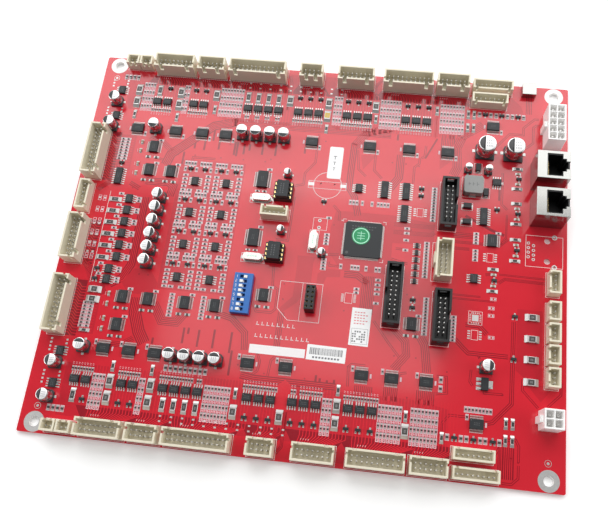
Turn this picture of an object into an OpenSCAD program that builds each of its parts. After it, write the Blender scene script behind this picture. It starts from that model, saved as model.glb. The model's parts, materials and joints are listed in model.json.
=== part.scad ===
// Motor and sensor connection board: one large circuit board ringed with wire-to-board
// connectors, with a configuration switch whose eight sliders move.
// Millimetres, +Z up. The origin is the centre of the four-hole mounting pattern,
// on the underside of the board, with +X towards the network jacks.

/* [Board] */
// Width of the board, along X
board_w = 272; // [264:1:300]
// Depth of the board, along Y
board_d = 222; // [220:1:240]
// Thickness of the board
board_t = 1.6; // [1:0.2:2.4]
// Radius of the board's corners
corner_r = 1; // [0.5:0.5:3]
// Diameter of the four mounting holes
mount_hole_d = 5; // [3.2:0.1:6]
// Distance between the mounting holes along X
mount_spacing_x = 256; // [250:1:256]
// Distance between the mounting holes along Y
mount_spacing_y = 211; // [205:1:211]

/* [Wire connectors] */
// Pitch of the pins in the wire connectors
wire_pitch = 2.5; // [2:0.5:2.5]
// Length a two-row housing adds beyond its first and last pin, both ends together
wire_end = 5.8; // [5:0.1:6]
// Length a one-row housing adds beyond its first and last pin, both ends together
one_row_end = 4.9; // [4.5:0.1:5]
// Depth of a two-row housing
two_row_d = 8.8; // [8:0.2:9.2]
// Height of a two-row housing
two_row_h = 10.2; // [8:0.2:12]
// Depth of a one-row housing
one_row_d = 6; // [5:0.2:6]
// Height of a one-row housing
one_row_h = 7.4; // [6:0.2:9]
// Thickness of the housing walls
wire_wall = 1; // [0.8:0.1:1.2]
// Distance of the two-row connectors' centres from the board's middle
edge_row_y = 105.6; // [105:0.1:106]

/* [Network jacks] */
// Size of a jack's shield along X
jack_w = 17.2; // [16.5:0.1:17.6]
// Size of a jack's shield along Y
jack_d = 16; // [15.5:0.1:17]
// Height of a jack
jack_h = 16.5; // [14:0.5:21]
// Distance between neighbouring jacks
jack_pitch = 21.4; // [20:0.1:22]

/* [Power headers] */
// Pitch of the power header cells
power_pitch = 4.2; // [4:0.1:4.4]
// Height of the power headers
power_h = 12.8; // [10:0.2:15]

/* [Configuration switch] */
// Number of sliders along the switch
switch_ways = 8; // [8:1:8]
// Distance between neighbouring sliders
switch_pitch = 2.54; // [2.54:0.01:2.6]
// How far a slider travels between off and on
slider_travel = 2; // [1:0.1:2]
// Free space left round a slider
slider_gap = 0.1; // [0.05:0.01:0.15]

/* [Hidden] */

$fn = 48;
eps = 0.01;
pin_w = 0.64;
header_pitch = 2.54;

// --- Where things stand on the board -------------------------------------------------
// Two-row connectors along each long edge: X of the centre, pins in a row
edge_two_row = [[-91.9, 8], [-69.9, 5], [-42.8, 12], [-11.1, 4], [14.8, 7], [44.9, 10], [70.3, 6]];
// Two-row connectors up the left edge: Y of the centre, pins in a row
left_two_row = [[45.8, 11], [-7.1, 9], [-44.6, 11]];
left_row_x = -127.8;
// One-row connectors: centre, pins, and which way the slotted wall faces
one_row_sites = [
    [-117.8, 106.6, 2, 180], [-109.8, 106.6, 2, 180], [92.8, 106.7, 8, 180], [91.4, 97.7, 7, 180],
    [-117.8, -106.6, 2, 0], [-109.8, -106.6, 2, 0], [92.8, -106.7, 8, 0], [91.4, -97.7, 7, 0],
    [-128.8, 18.4, 6, -90], [-21.2, 18.2, 5, 0], [128.6, -7.5, 4, 90],
    [128.6, -22.8, 3, 90], [128.6, -34.1, 3, 90], [128.6, -45.4, 3, 90], [128.6, -56.7, 3, 90]
];
service_header_at = [71.4, -0.5];
service_header_pins_n = 7;
// Box headers: centre, pins in a row, side of the keying notch
box_header_sites = [[72.3, 31.9, 8, 1], [46.6, -21.8, 10, -1], [72.1, -31.2, 8, 1]];
expansion_at = [4.2, -28.6];
motor_power_at = [127, 82.1];
motor_power_rows = 5;
supply_power_at = [127.3, -77.6];
supply_power_rows = 2;
jack_x = 124.6;
jack_first_y = 54;
usb_at = [113.6, 107.6];
switch_at = [-32.3, -28.7];
// The sliders that stand at ON
switch_on = [1, 6];
socket_sites = [[-18.2, 31.4], [-18.2, -4.6]];
controller_at = [28.1, 7.9];
regulator_at = [95.9, -62.6];
inductor_at = [85, 44.6];
// Crystals: centre and turn
crystal_sites = [[-30, 27, 0], [-29.8, -7.8, 0], [1.5, 4.8, 90]];

// Eight-lead drivers in rows: X of the first, how many, one driver pitch apart
driver_pitch = 6;
far_driver_groups = [[-100.3, 2], [-78.6, 2], [-46.3, 4], [-16.8, 3], [11.5, 3], [45.2, 3]];
near_driver_groups = [[-112, 2], [-87.2, 2], [-65.4, 4], [-21.9, 3], [1.1, 3], [29.3, 3]];
driver_row_y = [83, -81.9];
// Eight-lead drivers with their leads to the sides
relay_driver_x = -104.2;
relay_driver_y = [for (i = [0 : 5]) 20 - 6.9 * i];
cell_x = [-69, -51.2];
cell_y = [for (i = [0 : 3]) 34 - 18.9 * i];
loose_drivers = [
    [-122.8, 88.7], [-122.8, 71.6], [-107, -21.7], [-107, -27.6], [-122.8, -68.4],
    [-122.8, -85.3], [23, 38.2], [88, -7.9]
];
transceiver_at = [97.9, 48.5];
// Sixteen-lead logic parts, upright
logic_sites = [[-113.2, 33.4], [37.2, 38.6], [49, 38.6], [49, 25.3], [91.6, 27.7]];
// Twenty-lead buffers, lying and upright, and the two long interface parts
lying_buffers = concat(
    [for (x = [-108.3, -85.7, -70.2, -56.4, -6.5, 26.5, 48.7, 70.2]) [x, 64.4]],
    [for (x = [-100.5, -86.7, -73, -24.2, -4.4, 34.4, 49.6, 67]) [x, -64.7]],
    [[94.6, 82.9], [92.8, -82.6]]
);
upright_buffers = [
    [-96.5, 53.3], [-96.5, 38.8], [-83.9, 38.8], [-96.2, -36.3], [-82.2, -36.3],
    [-62.2, -36.3], [-46, -36.3], [-96.2, -51.6], [-21.1, -28], [96.6, 14.2], [57.5, -35.6]
];
interface_sites = [[-31.2, 38.6], [-31.3, 3.7]];
// Three-lead transistors in rows with the drivers, and the rest one by one
far_transistor_groups = [[-94.1, 1], [-78.5, 2], [-16.6, 3], [11.5, 3], [45.9, 3]];
near_transistor_groups = [[-105.9, 1], [-87, 2], [-21.8, 3], [1.3, 3], [29.3, 3]];
transistor_row_y = [92.3, -91.8];
six_lead_column = [for (i = [0 : 5]) [57.2, 7.6 - 4 * i]];
loose_transistors = [
    [57.3, 41], [57.3, 36.8], [57.2, -22.6], [57.2, -26.7], [-113.3, 41.8], [-113.6, -21.8],
    [-113.6, -27.6], [4.6, 28.4], [109.8, -26.2], [109.8, -48.4], [98.6, 32.4],
    [109.8, 51.8], [109.8, 31], [109.8, 10], [98.6, -7.8],
    [90, 90.5], [99.2, 90.5], [108.3, 90.5], [82.4, -90.2], [91.7, -90.2], [101, -90.2]
];
cell_transistors = [for (x = [-72.8, -64.6, -55.2, -46.8], y = cell_y) [x, y + 7.7]];
// Protection diodes: centre and turn
diode_sites = [[87.4, 56.5, 90], [92.2, 41.8, 90], [82.6, 33, 0], [82.6, 23.8, 0]];

large_cap_sites = [[90.6, 67.2], [106.1, 67.2]];
medium_cap_sites = concat(
    [[-124, 81], [-123.8, 64.6], [-97.5, 65.2], [-111, -64.9], [-123.9, -74.7], [-123.9, -92.2],
     [96.3, -54.2]],
    [for (i = [0 : 3]) [-46.3 + 7.95 * i, 65.4]],
    [for (i = [0 : 3]) [-64 + 7.9 * i, -65]],
    [for (i = [0 : 5]) [-86.8, 22.4 - 7.75 * i]]
);
small_cap_sites = [[81.9, 55], [92.9, 55], [-17.2, 42.8], [-16.6, 8.8], [6.9, -2]];

// Chip parts: centre, size class, turn. Class 0 is a fuse, 1 a power resistor, 2 a small chip
upright = 90;
lying = 0;
chip_sites = concat(
    [for (x = [-112.4, -87.1, -65.8, -22.2, 0.4, 27.6], y = [90.1]) [x, y, 0, upright]],
    [for (x = [-112.4, -87.1, 0.4], y = [81.9]) [x, y, 0, upright]],
    [for (x = [-93.4, -71.9, 23.6], y = [-81.3]) [x, y, 0, upright]],
    [for (x = [-93.4, -71.9, -27.9, -4.4, 23.6, 58.2], y = [-89.9]) [x, y, 0, upright]],
    [for (y = [-33.8, -39.2]) [-112.2, y, 0, lying]],
    [for (i = [0 : 3]) [118.6, -26 - 11.3 * i + (i > 1 ? 0.6 : 0), 0, lying]],
    [for (i = [0 : 3]) [-47 + driver_pitch * i, 90.3, 1, upright]],
    [for (i = [0 : 3]) [-64.2 + 5.7 * i, -90.2, 1, upright]],
    [for (i = [0 : 5]) [-112.2, 19.1 - 6.9 * i, 1, lying]],
    [[-100.1, 90.6, 1, upright], [-111.2, -90.2, 1, upright]],
    [for (x = [-112.3, -87, 0.7]) [x, 73.7, 2, upright]],
    [for (x = [-93.4, -72.6, 23.6]) [x, -73.5, 2, upright]],
    [for (x = [80.4, 83.7], y = [90, 81.5]) [x, y, 2, upright]],
    [for (x = [107, 110.3], y = [-80.8, -89]) [x, y, 2, upright]],
    [for (c = [[109.3, 51.8], [109.3, 31], [109.3, 10], [98.2, -7.8]], s = [-1, 1])
        [c[0] - 0.4, c[1] + 6 * s, 2, lying]],
    [[-65.6, 80.6, 2, upright], [28.3, 82.3, 2, upright], [62.7, 90.8, 2, upright],
     [-28, -80.6, 2, upright], [58.1, -82.6, 2, upright], [76.3, -91, 2, upright],
     [-113, -56.3, 2, lying]]
);

// --- Shared shapes -------------------------------------------------------------------
function row_len(n) = wire_pitch * (n - 1) + wire_end;
function row_sites(groups, y) = [for (g = groups, i = [0 : g[1] - 1]) [g[0] + driver_pitch * i, y]];
function spread(n, pitch) = [for (i = [0 : n - 1]) (i - (n - 1) / 2) * pitch];

module on_board(sites) {
    for (p = sites)
        translate([p[0], p[1], board_t])
            children();
}

module block(size) {
    translate([-size[0] / 2, -size[1] / 2, 0])
        cube(size);
}

// Pins standing in a grid, with their feet at the height given
module pin_grid(columns, rows, pitch, foot, top) {
    for (x = spread(columns, pitch), y = spread(rows, pitch))
        translate([x, y, foot])
            block([pin_w, pin_w, top - foot]);
}

// --- Board ---------------------------------------------------------------------------
empty_jack_at = [jack_x, jack_first_y - 2 * jack_pitch];

module pcb_outline() {
    square([board_w - 2 * corner_r, board_d], center = true);
    square([board_w, board_d - 2 * corner_r], center = true);
    for (x = [-1, 1], y = [-1, 1])
        translate([x * (board_w / 2 - corner_r), y * (board_d / 2 - corner_r)])
            circle(r = corner_r);
}

// Drill holes of the unpopulated third jack: two pegs, two shield legs, eight contacts
module empty_jack_holes() {
    for (s = [-1, 1]) {
        translate([1.1, 5.72 * s])
            circle(d = 3.3);
        translate([4.8, 8.55 * s])
            circle(d = 1.6);
    }
    for (i = [0 : 7])
        translate([i % 2 == 0 ? -8.9 : -6.4, 4.45 - 1.27 * i])
            circle(d = 0.9);
}

module pcb() {
    color("crimson")
        linear_extrude(board_t)
            difference() {
                pcb_outline();
                for (x = [-1, 1], y = [-1, 1])
                    translate([x * mount_spacing_x / 2, y * mount_spacing_y / 2])
                        circle(d = mount_hole_d);
                translate(empty_jack_at)
                    empty_jack_holes();
                // Feed-throughs of the unfitted coin cell and of the unfitted crystal
                for (p = [[1.6, 39.4], [9.3, 39.4], [3.6, 17.2], [3.6, 13.1]])
                    translate(p)
                        circle(d = 1);
            }
}

// --- Two-row wire connectors ---------------------------------------------------------
wire_floor = 2;
latch_slot_w = 2.2;
latch_slot_h = 4.8;
end_slot_w = 1.3;

module two_row_housing(n) {
    len = row_len(n);
    difference() {
        block([len, two_row_d, two_row_h]);
        translate([0, 0, wire_floor])
            block([len - 2 * wire_wall, two_row_d - 2 * wire_wall, two_row_h]);
        for (s = [-1, 1])
            translate([s * (len / 2 - 4), two_row_d / 2 - wire_wall / 2, two_row_h - latch_slot_h])
                block([latch_slot_w, wire_wall + 1, latch_slot_h + 1]);
        translate([0, 1.7, two_row_h - latch_slot_h])
            block([len + 1, end_slot_w, latch_slot_h + 1]);
    }
}

module far_edge_housings() {
    color("beige")
        for (c = edge_two_row)
            translate([c[0], edge_row_y, board_t])
                rotate(180)
                    two_row_housing(c[1]);
}

module near_edge_housings() {
    color("beige")
        for (c = edge_two_row)
            translate([c[0], -edge_row_y, board_t])
                two_row_housing(c[1]);
}

module left_edge_housings() {
    color("beige")
        for (c = left_two_row)
            translate([left_row_x, c[0], board_t])
                rotate(-90)
                    two_row_housing(c[1]);
}

module two_row_pins() {
    color("silver") {
        for (c = edge_two_row, s = [-1, 1])
            translate([c[0], s * edge_row_y, board_t])
                pin_grid(c[1], 2, wire_pitch, wire_floor, two_row_h - 2.6);
        for (c = left_two_row)
            translate([left_row_x, c[0], board_t])
                pin_grid(2, c[1], wire_pitch, wire_floor, two_row_h - 2.6);
    }
}

// --- One-row wire connectors ---------------------------------------------------------
module one_row_housing(n) {
    len = wire_pitch * (n - 1) + one_row_end;
    difference() {
        block([len, one_row_d, one_row_h]);
        translate([0, 0, wire_floor - 0.5])
            block([len - 2 * wire_wall, one_row_d - 2 * wire_wall, one_row_h]);
        for (s = [-1, 1])
            translate([s * (len / 2 - 2.2), one_row_d / 2 - wire_wall / 2, one_row_h - 3.6])
                block([1.2, wire_wall + 1, 5]);
        translate([0, one_row_d / 2 - wire_wall / 2, one_row_h - 0.8])
            block([len - 5.8, wire_wall + 1, 2]);
    }
}

module one_row_housings() {
    color("beige")
        for (c = one_row_sites)
            translate([c[0], c[1], board_t])
                rotate(c[3])
                    one_row_housing(c[2]);
}

module one_row_pins() {
    color("silver")
        for (c = one_row_sites)
            translate([c[0], c[1], board_t])
                rotate(c[3])
                    translate([0, -0.4, 0])
                        pin_grid(c[2], 1, wire_pitch, wire_floor - 0.5, one_row_h - 2);
}

// --- Service header in the middle of the board ---------------------------------------
module service_header_housing() {
    len = row_len(service_header_pins_n);
    color("beige")
        on_board([service_header_at])
            rotate(90) {
                difference() {
                    block([len, two_row_d, two_row_h]);
                    translate([0, 0, wire_floor])
                        block([len - 2 * wire_wall, two_row_d - 2 * wire_wall, two_row_h]);
                    for (s = [-1, 1])
                        translate([s * len / 2, 2.6, two_row_h - 3])
                            block([2 * wire_wall + 1, 1.6, 4]);
                }
                translate([0, two_row_d / 2, 0])
                    translate([0, 0.45, 0])
                        block([6.4, 0.9, two_row_h - 2]);
            }
}

module service_header_pins() {
    color("silver")
        on_board([service_header_at])
            pin_grid(2, service_header_pins_n, wire_pitch, wire_floor, two_row_h - 2.6);
}

// --- Box headers ---------------------------------------------------------------------
box_w = 8.8;
box_h = 9.2;
box_wall = 1.2;
box_floor = 2.4;

function box_len(n) = header_pitch * (n - 1) + 10.16;

module box_header(n, side) {
    len = box_len(n);
    difference() {
        block([box_w, len, box_h]);
        translate([0, 0, box_floor])
            block([box_w - 2 * box_wall, len - 2.6, box_h]);
        translate([side * (box_w / 2 - box_wall / 2), 0, box_floor])
            block([box_wall + 1, 4.5, box_h]);
        for (s = [-1, 1])
            translate([0, s * len / 2, box_h - 3.8])
                block([3.6, 4, 2.8]);
    }
}

module box_header_housings() {
    color("dimgray")
        for (b = box_header_sites)
            translate([b[0], b[1], board_t])
                box_header(b[2], b[3]);
}

module box_header_pins() {
    color("gold")
        for (b = box_header_sites)
            translate([b[0], b[1], board_t])
                pin_grid(2, b[2], header_pitch, box_floor, box_h - 1.4);
}

// --- Expansion socket ----------------------------------------------------------------
expansion_rows = 5;
expansion_h = 8.5;
expansion_cell = 1;

module expansion_socket_body() {
    color("dimgray")
        on_board([expansion_at])
            difference() {
                block([5, header_pitch * expansion_rows + 0.4, expansion_h]);
                for (x = spread(2, header_pitch), y = spread(expansion_rows, header_pitch))
                    translate([x, y, 2])
                        block([expansion_cell, expansion_cell, expansion_h]);
            }
}

module expansion_socket_contacts() {
    color("gold")
        on_board([expansion_at])
            for (x = spread(2, header_pitch), y = spread(expansion_rows, header_pitch))
                translate([x, y, 2])
                    difference() {
                        block([expansion_cell, expansion_cell, 5]);
                        translate([0, 0, 0.5])
                            block([0.64, 0.64, 5]);
                    }
}

// --- Power headers -------------------------------------------------------------------
power_cell = 3.6;
power_d = 9.6;

function power_len(rows) = power_pitch * (rows - 1) + 5.4;

module power_header(rows) {
    len = power_len(rows);
    difference() {
        union() {
            block([power_d, len, power_h]);
            translate([-power_d / 2 - 0.7, 0, 0])
                block([1.4, 3.4, power_h - 3.4]);
        }
        for (x = spread(2, power_pitch), y = spread(rows, power_pitch))
            translate([x, y, 3])
                block([power_cell, power_cell, power_h]);
    }
}

module motor_power_header() {
    color("whitesmoke")
        on_board([motor_power_at])
            power_header(motor_power_rows);
}

module supply_power_header() {
    color("whitesmoke")
        on_board([supply_power_at])
            power_header(supply_power_rows);
}

module power_header_pins() {
    color("silver")
        for (h = [[motor_power_at, motor_power_rows], [supply_power_at, supply_power_rows]])
            on_board([h[0]])
                for (x = spread(2, power_pitch), y = spread(h[1], power_pitch))
                    translate([x, y, 3])
                        block([1.07, 1.07, power_h - 5]);
}

// --- Network jacks -------------------------------------------------------------------
jack_sites = [for (i = [0 : 1]) [jack_x, jack_first_y - jack_pitch * i]];
shield_t = 0.4;
mouth_w = 11.8;
mouth_x = [-3, 4.5];
mouth_depth = 12.5;
window_w = 12.8;
window_x = [-3.4, 4.7];

// Opening of the jack seen from above: the plug's body, then its latch in two steps
module jack_mouth() {
    translate([mouth_x[0], -mouth_w / 2])
        square([mouth_x[1] - mouth_x[0], mouth_w]);
    translate([mouth_x[1] - eps, -3.4])
        square([1.7, 6.8]);
    translate([mouth_x[1] + 1.7 - 2 * eps, -2])
        square([1.2, 4]);
}

// The window in the shield is a little larger and runs out through its +X edge
module jack_window() {
    translate([window_x[0], -window_w / 2])
        square([window_x[1] - window_x[0], window_w]);
    translate([window_x[1] - eps, -3.65])
        square([1.8, 7.3]);
    translate([window_x[1] + 1.8 - 2 * eps, -2.25])
        square([3, 4.5]);
}

module jack_shields() {
    color("silver")
        on_board(jack_sites)
            difference() {
                block([jack_w, jack_d, jack_h]);
                translate([0, 0, -eps])
                    block([jack_w - 2 * shield_t, jack_d - 2 * shield_t, jack_h - shield_t + eps]);
                translate([0, 0, jack_h - 2])
                    linear_extrude(3)
                        jack_window();
            }
}

module jack_inserts() {
    color("dimgray")
        on_board(jack_sites)
            difference() {
                block([jack_w - 2 * shield_t, jack_d - 2 * shield_t, jack_h - shield_t]);
                translate([0, 0, jack_h - mouth_depth])
                    linear_extrude(mouth_depth)
                        jack_mouth();
            }
}

module jack_contacts() {
    color("gold")
        on_board(jack_sites)
            for (y = spread(8, 1.02))
                translate([mouth_x[0] + 0.6, y, jack_h - mouth_depth])
                    block([1.2, 0.4, 8]);
}

// --- USB receptacle ------------------------------------------------------------------
usb_w = 7.7;
usb_d = 7.6;
usb_h = 3.9;
usb_t = 0.35;

module usb_shell() {
    color("silver")
        on_board([usb_at])
            difference() {
                block([usb_w, usb_d, usb_h]);
                translate([0, 0.5 + eps, usb_t])
                    block([usb_w - 2 * usb_t, usb_d - 1, usb_h - 2 * usb_t]);
            }
}

module usb_insert() {
    color("dimgray")
        on_board([usb_at]) {
            translate([0, -1.25, usb_t])
                block([usb_w - 2 * usb_t, 3, usb_h - 2 * usb_t]);
            translate([0, 1.75, usb_t + 1.1])
                block([4.4, 3, 1]);
        }
}

// --- Configuration switch ------------------------------------------------------------
switch_w = 9.9;
switch_len = switch_pitch * (switch_ways - 1) + 4;
switch_h = 3.9;
knob_w = 1.5;
knob_len = 1.8;
knob_rise = 0.5;
cover_t = 0.9;
foot_w = 2;
foot_len = 2.6;
foot_h = 1.2;

function slider_y(k) = (switch_ways / 2 + 0.5 - k) * switch_pitch;
function slider_is_on(k) = len([for (s = switch_on) if (s == k) s]) > 0;

module switch_body() {
    color("royalblue")
        on_board([switch_at])
            difference() {
                block([switch_w, switch_len, switch_h]);
                for (k = [1 : switch_ways])
                    translate([0, slider_y(k), 0]) {
                        translate([0, 0, switch_h - cover_t - foot_h - slider_gap])
                            block([foot_len + slider_travel + 2 * slider_gap,
                                   foot_w + 2 * slider_gap, foot_h + slider_gap]);
                        translate([0, 0, switch_h - cover_t - eps])
                            block([knob_len + slider_travel + 2 * slider_gap,
                                   knob_w + 2 * slider_gap, cover_t + 1]);
                    }
            }
}

// A slider: a knob above the cover on a wider foot that the cover holds in
module switch_slider(k) {
    side = slider_is_on(k) ? 1 : -1;
    color("white")
        translate([switch_at[0] + side * slider_travel / 2, switch_at[1] + slider_y(k),
                   board_t + switch_h - cover_t - foot_h]) {
            block([foot_len, foot_w, foot_h - slider_gap]);
            translate([0, 0, foot_h - slider_gap - eps])
                block([knob_len, knob_w, slider_gap + cover_t + knob_rise + eps]);
        }
}

module switch_slider_1() switch_slider(1);
module switch_slider_2() switch_slider(2);
module switch_slider_3() switch_slider(3);
module switch_slider_4() switch_slider(4);
module switch_slider_5() switch_slider(5);
module switch_slider_6() switch_slider(6);
module switch_slider_7() switch_slider(7);
module switch_slider_8() switch_slider(8);

// --- Socketed chips ------------------------------------------------------------------
socket_h = 4.2;
socket_span = 7.62;

module ic_sockets() {
    color("dimgray")
        on_board(socket_sites)
            difference() {
                block([10.1, 10.16, socket_h]);
                translate([0, 0, -eps])
                    block([4.6, 6.4, socket_h + 1]);
                for (x = [-1, 1], y = spread(4, header_pitch))
                    translate([x * socket_span / 2, y, 1])
                        block([1.7, 1.3, socket_h]);
            }
}

module ic_socket_contacts() {
    color("gold")
        on_board(socket_sites)
            for (x = [-1, 1], y = spread(4, header_pitch))
                translate([x * socket_span / 2, y, 1])
                    difference() {
                        block([1.7, 1.3, socket_h - 1.02]);
                        translate([0, 0, 0.5])
                            block([0.7, 0.7, socket_h]);
                    }
}

module socketed_ics() {
    color("dimgray")
        on_board(socket_sites)
            translate([0, 0, socket_h]) {
                difference() {
                    block([6.4, 9.6, 3.4]);
                    translate([0, 4.8, 2.9])
                        cylinder(r = 0.8, h = 1);
                }
                for (x = [-1, 1], y = spread(4, header_pitch))
                    translate([x * (socket_span / 2 - 0.3), y, 0.1])
                        block([0.62, 1.2, 1.9]);
            }
}

// --- Crystals ------------------------------------------------------------------------
module stadium(length, width, height) {
    block([length - width, width, height]);
    for (s = [-1, 1])
        translate([s * (length - width) / 2, 0, 0])
            cylinder(d = width, h = height);
}

module crystal_flanges() {
    color("silver")
        for (c = crystal_sites)
            translate([c[0], c[1], board_t])
                rotate(c[2])
                    stadium(11.2, 4.7, 0.5);
}

module crystal_cans() {
    color("silver")
        for (c = crystal_sites)
            translate([c[0], c[1], board_t + 0.5])
                rotate(c[2])
                    stadium(10.3, 3.8, 3);
}

// --- Controller ----------------------------------------------------------------------
controller_w = 20;
controller_side_leads = 36;
controller_lead_pitch = 0.5;

module controller_body() {
    cut = 1;
    half = controller_w / 2;
    color("dimgray")
        on_board([controller_at])
            linear_extrude(1.5)
                polygon([for (t = [0 : 3]) for (p = [[half, half - cut], [half - cut, half]])
                    [p[0] * cos(90 * t) - p[1] * sin(90 * t),
                     p[0] * sin(90 * t) + p[1] * cos(90 * t)]]);
}

// A gull-wing lead: out of the body's side, down and out along the board
module gull_lead(width, reach, height) {
    translate([0, width / 2, 0])
        rotate([90, 0, 0])
            linear_extrude(width)
                polygon([[0, height - 0.15], [reach * 0.45, height - 0.15], [reach * 0.5, 0],
                         [reach, 0], [reach, 0.15], [reach * 0.6, 0.15],
                         [reach * 0.55, height], [0, height]]);
}

module controller_leads() {
    color("silver")
        on_board([controller_at])
            for (t = [0 : 3], y = spread(controller_side_leads, controller_lead_pitch))
                rotate(90 * t)
                    translate([controller_w / 2, y, 0])
                        gull_lead(0.24, 1, 0.8);
}

module controller_sticker() {
    color("mediumseagreen")
        translate([controller_at[0] - 1.2, controller_at[1] + 2, board_t + 1.5])
            cylinder(r = 5, h = 0.1);
}

// --- Eight-lead drivers --------------------------------------------------------------
driver_w = 3.9;
driver_len = 4.9;
driver_h = 1.6;

// Drivers with leads to the near and far sides, then drivers with leads left and right
row_drivers = concat(
    row_sites(far_driver_groups, driver_row_y[0]),
    row_sites(near_driver_groups, driver_row_y[1]),
    [transceiver_at]
);
side_drivers = concat(
    [for (y = relay_driver_y) [relay_driver_x, y]],
    [for (x = cell_x, y = cell_y) [x, y]],
    loose_drivers
);

module driver_bodies() {
    color("dimgray") {
        on_board(row_drivers)
            block([driver_len, driver_w, driver_h]);
        on_board(side_drivers)
            block([driver_w, driver_len, driver_h]);
    }
}

module side_leads(width, per_side, pitch, lead_w, reach, height) {
    for (t = [0, 180], y = spread(per_side, pitch))
        rotate(t)
            translate([width / 2, y, 0])
                gull_lead(lead_w, reach, height);
}

module driver_leads() {
    color("silver") {
        on_board(row_drivers)
            rotate(90)
                side_leads(driver_w, 4, 1.27, 0.42, 1.05, 0.8);
        on_board(side_drivers)
            side_leads(driver_w, 4, 1.27, 0.42, 1.05, 0.8);
    }
}

// --- Sixteen-lead logic --------------------------------------------------------------
module logic_bodies() {
    color("dimgray")
        on_board(logic_sites)
            block([3.9, 9.9, 1.6]);
}

module logic_leads() {
    color("silver")
        on_board(logic_sites)
            side_leads(3.9, 8, 1.27, 0.42, 1.05, 0.8);
}

// --- Buffers and interface parts -----------------------------------------------------
module buffer_bodies() {
    color("dimgray") {
        on_board(lying_buffers)
            block([7, 5, 1.7]);
        on_board(upright_buffers)
            block([5, 7, 1.7]);
        on_board(interface_sites)
            block([5.9, 10, 1.9]);
    }
}

// --- Transistors ---------------------------------------------------------------------
module small_transistor_bodies() {
    color("dimgray") {
        on_board(concat(
            row_sites(far_transistor_groups, transistor_row_y[0]),
            row_sites(near_transistor_groups, transistor_row_y[1]),
            loose_transistors, cell_transistors
        ))
            block([2.9, 1.5, 1.1]);
        on_board(six_lead_column)
            block([1.7, 2.9, 1.1]);
    }
}

// --- Voltage regulator ---------------------------------------------------------------
module regulator_body() {
    color("dimgray")
        on_board([regulator_at])
            block([3.6, 6.4, 1.7]);
}

module regulator_leads() {
    color("silver")
        on_board([regulator_at]) {
            for (y = [-2.3, 0, 2.3])
                translate([-1.8, y, 0])
                    rotate(180)
                        gull_lead(0.75, 1.9, 0.9);
            translate([1.8, 0, 0])
                gull_lead(3, 1.9, 0.9);
        }
}

// --- Power inductor ------------------------------------------------------------------
inductor_w = 10.3;
inductor_h = 4.8;

module inductor_core() {
    cut = 0.8;
    half = inductor_w / 2;
    color("gray")
        on_board([inductor_at])
            difference() {
                linear_extrude(inductor_h)
                    polygon([for (t = [0 : 3]) for (p = [[half, half - cut], [half - cut, half]])
                        [p[0] * cos(90 * t) - p[1] * sin(90 * t),
                         p[0] * sin(90 * t) + p[1] * cos(90 * t)]]);
                for (s = [-1, 1])
                    translate([0, s * half, -eps])
                        block([3.2, 1.2, 3.2]);
            }
}

module inductor_terminals() {
    color("silver")
        on_board([inductor_at])
            for (s = [-1, 1])
                translate([0, s * (inductor_w / 2 - 0.2), 0])
                    block([3, 0.7, 3]);
}

// --- Diodes --------------------------------------------------------------------------
module diode_bodies() {
    color("dimgray")
        for (d = diode_sites)
            translate([d[0], d[1], board_t])
                rotate(d[2])
                    block([4.3, 2.7, 2.2]);
}

module diode_terminals() {
    color("silver")
        for (d = diode_sites)
            translate([d[0], d[1], board_t])
                rotate(d[2])
                    for (s = [-1, 1])
                        translate([s * 2.4, 0, 0])
                            block([0.5, 1.5, 1.2]);
}

// --- Electrolytic capacitors ---------------------------------------------------------
cap_base_h = 1.2;

// Square base with two corners cut off, as wide as the can and a little more
module cap_base(d) {
    half = d / 2 + 0.15;
    cut = d * 0.2;
    linear_extrude(cap_base_h)
        polygon([[-half, -half], [half, -half], [half, half - cut], [half - cut, half],
                 [cut - half, half], [-half, half - cut]]);
}

module cap_can(d, top) {
    translate([0, 0, cap_base_h])
        cylinder(d = d, h = top - cap_base_h);
}

large_cap = [10, 10.2];
medium_cap = [6.3, 7.7];
small_cap = [4, 5.4];

module large_cap_bases() color("dimgray") on_board(large_cap_sites) cap_base(large_cap[0]);
module large_cap_cans() color("silver") on_board(large_cap_sites) cap_can(large_cap[0], large_cap[1]);
module medium_cap_bases() color("dimgray") on_board(medium_cap_sites) cap_base(medium_cap[0]);
module medium_cap_cans() color("silver") on_board(medium_cap_sites) cap_can(medium_cap[0], medium_cap[1]);
module small_cap_bases() color("dimgray") on_board(small_cap_sites) cap_base(small_cap[0]);
module small_cap_cans() color("silver") on_board(small_cap_sites) cap_can(small_cap[0], small_cap[1]);

// --- Fuses, power resistors and other chip parts -------------------------------------
// Length, width, height and terminal length of each class
chip_classes = [[4.6, 3.3, 1.3, 0.7], [5, 2.5, 0.7, 0.6], [3.2, 1.6, 0.7, 0.5]];

module chip_part_bodies() {
    color("dimgray")
        for (c = chip_sites)
            translate([c[0], c[1], board_t])
                rotate(c[3])
                    block([chip_classes[c[2]][0] - 2 * chip_classes[c[2]][3],
                           chip_classes[c[2]][1], chip_classes[c[2]][2]]);
}

module chip_part_terminals() {
    color("silver")
        for (c = chip_sites)
            translate([c[0], c[1], board_t])
                rotate(c[3])
                    for (s = [-1, 1])
                        translate([s * (chip_classes[c[2]][0] - chip_classes[c[2]][3]) / 2, 0, 0])
                            block([chip_classes[c[2]][3], chip_classes[c[2]][1],
                                   chip_classes[c[2]][2]]);
}

// --- Paper labels --------------------------------------------------------------------
label_t = 0.1;

module labels() {
    color("white") {
        translate([8.2, 52.8, board_t])
            rotate(90)
                stadium_label(19.8, 7.8, 1);
        translate([31.3, -39.8, board_t])
            rotate(-1)
                block([10.2, 20, label_t]);
        translate([15.4, -55.6, board_t])
            rotate(-1)
                block([20.2, 8, label_t]);
    }
}

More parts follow.
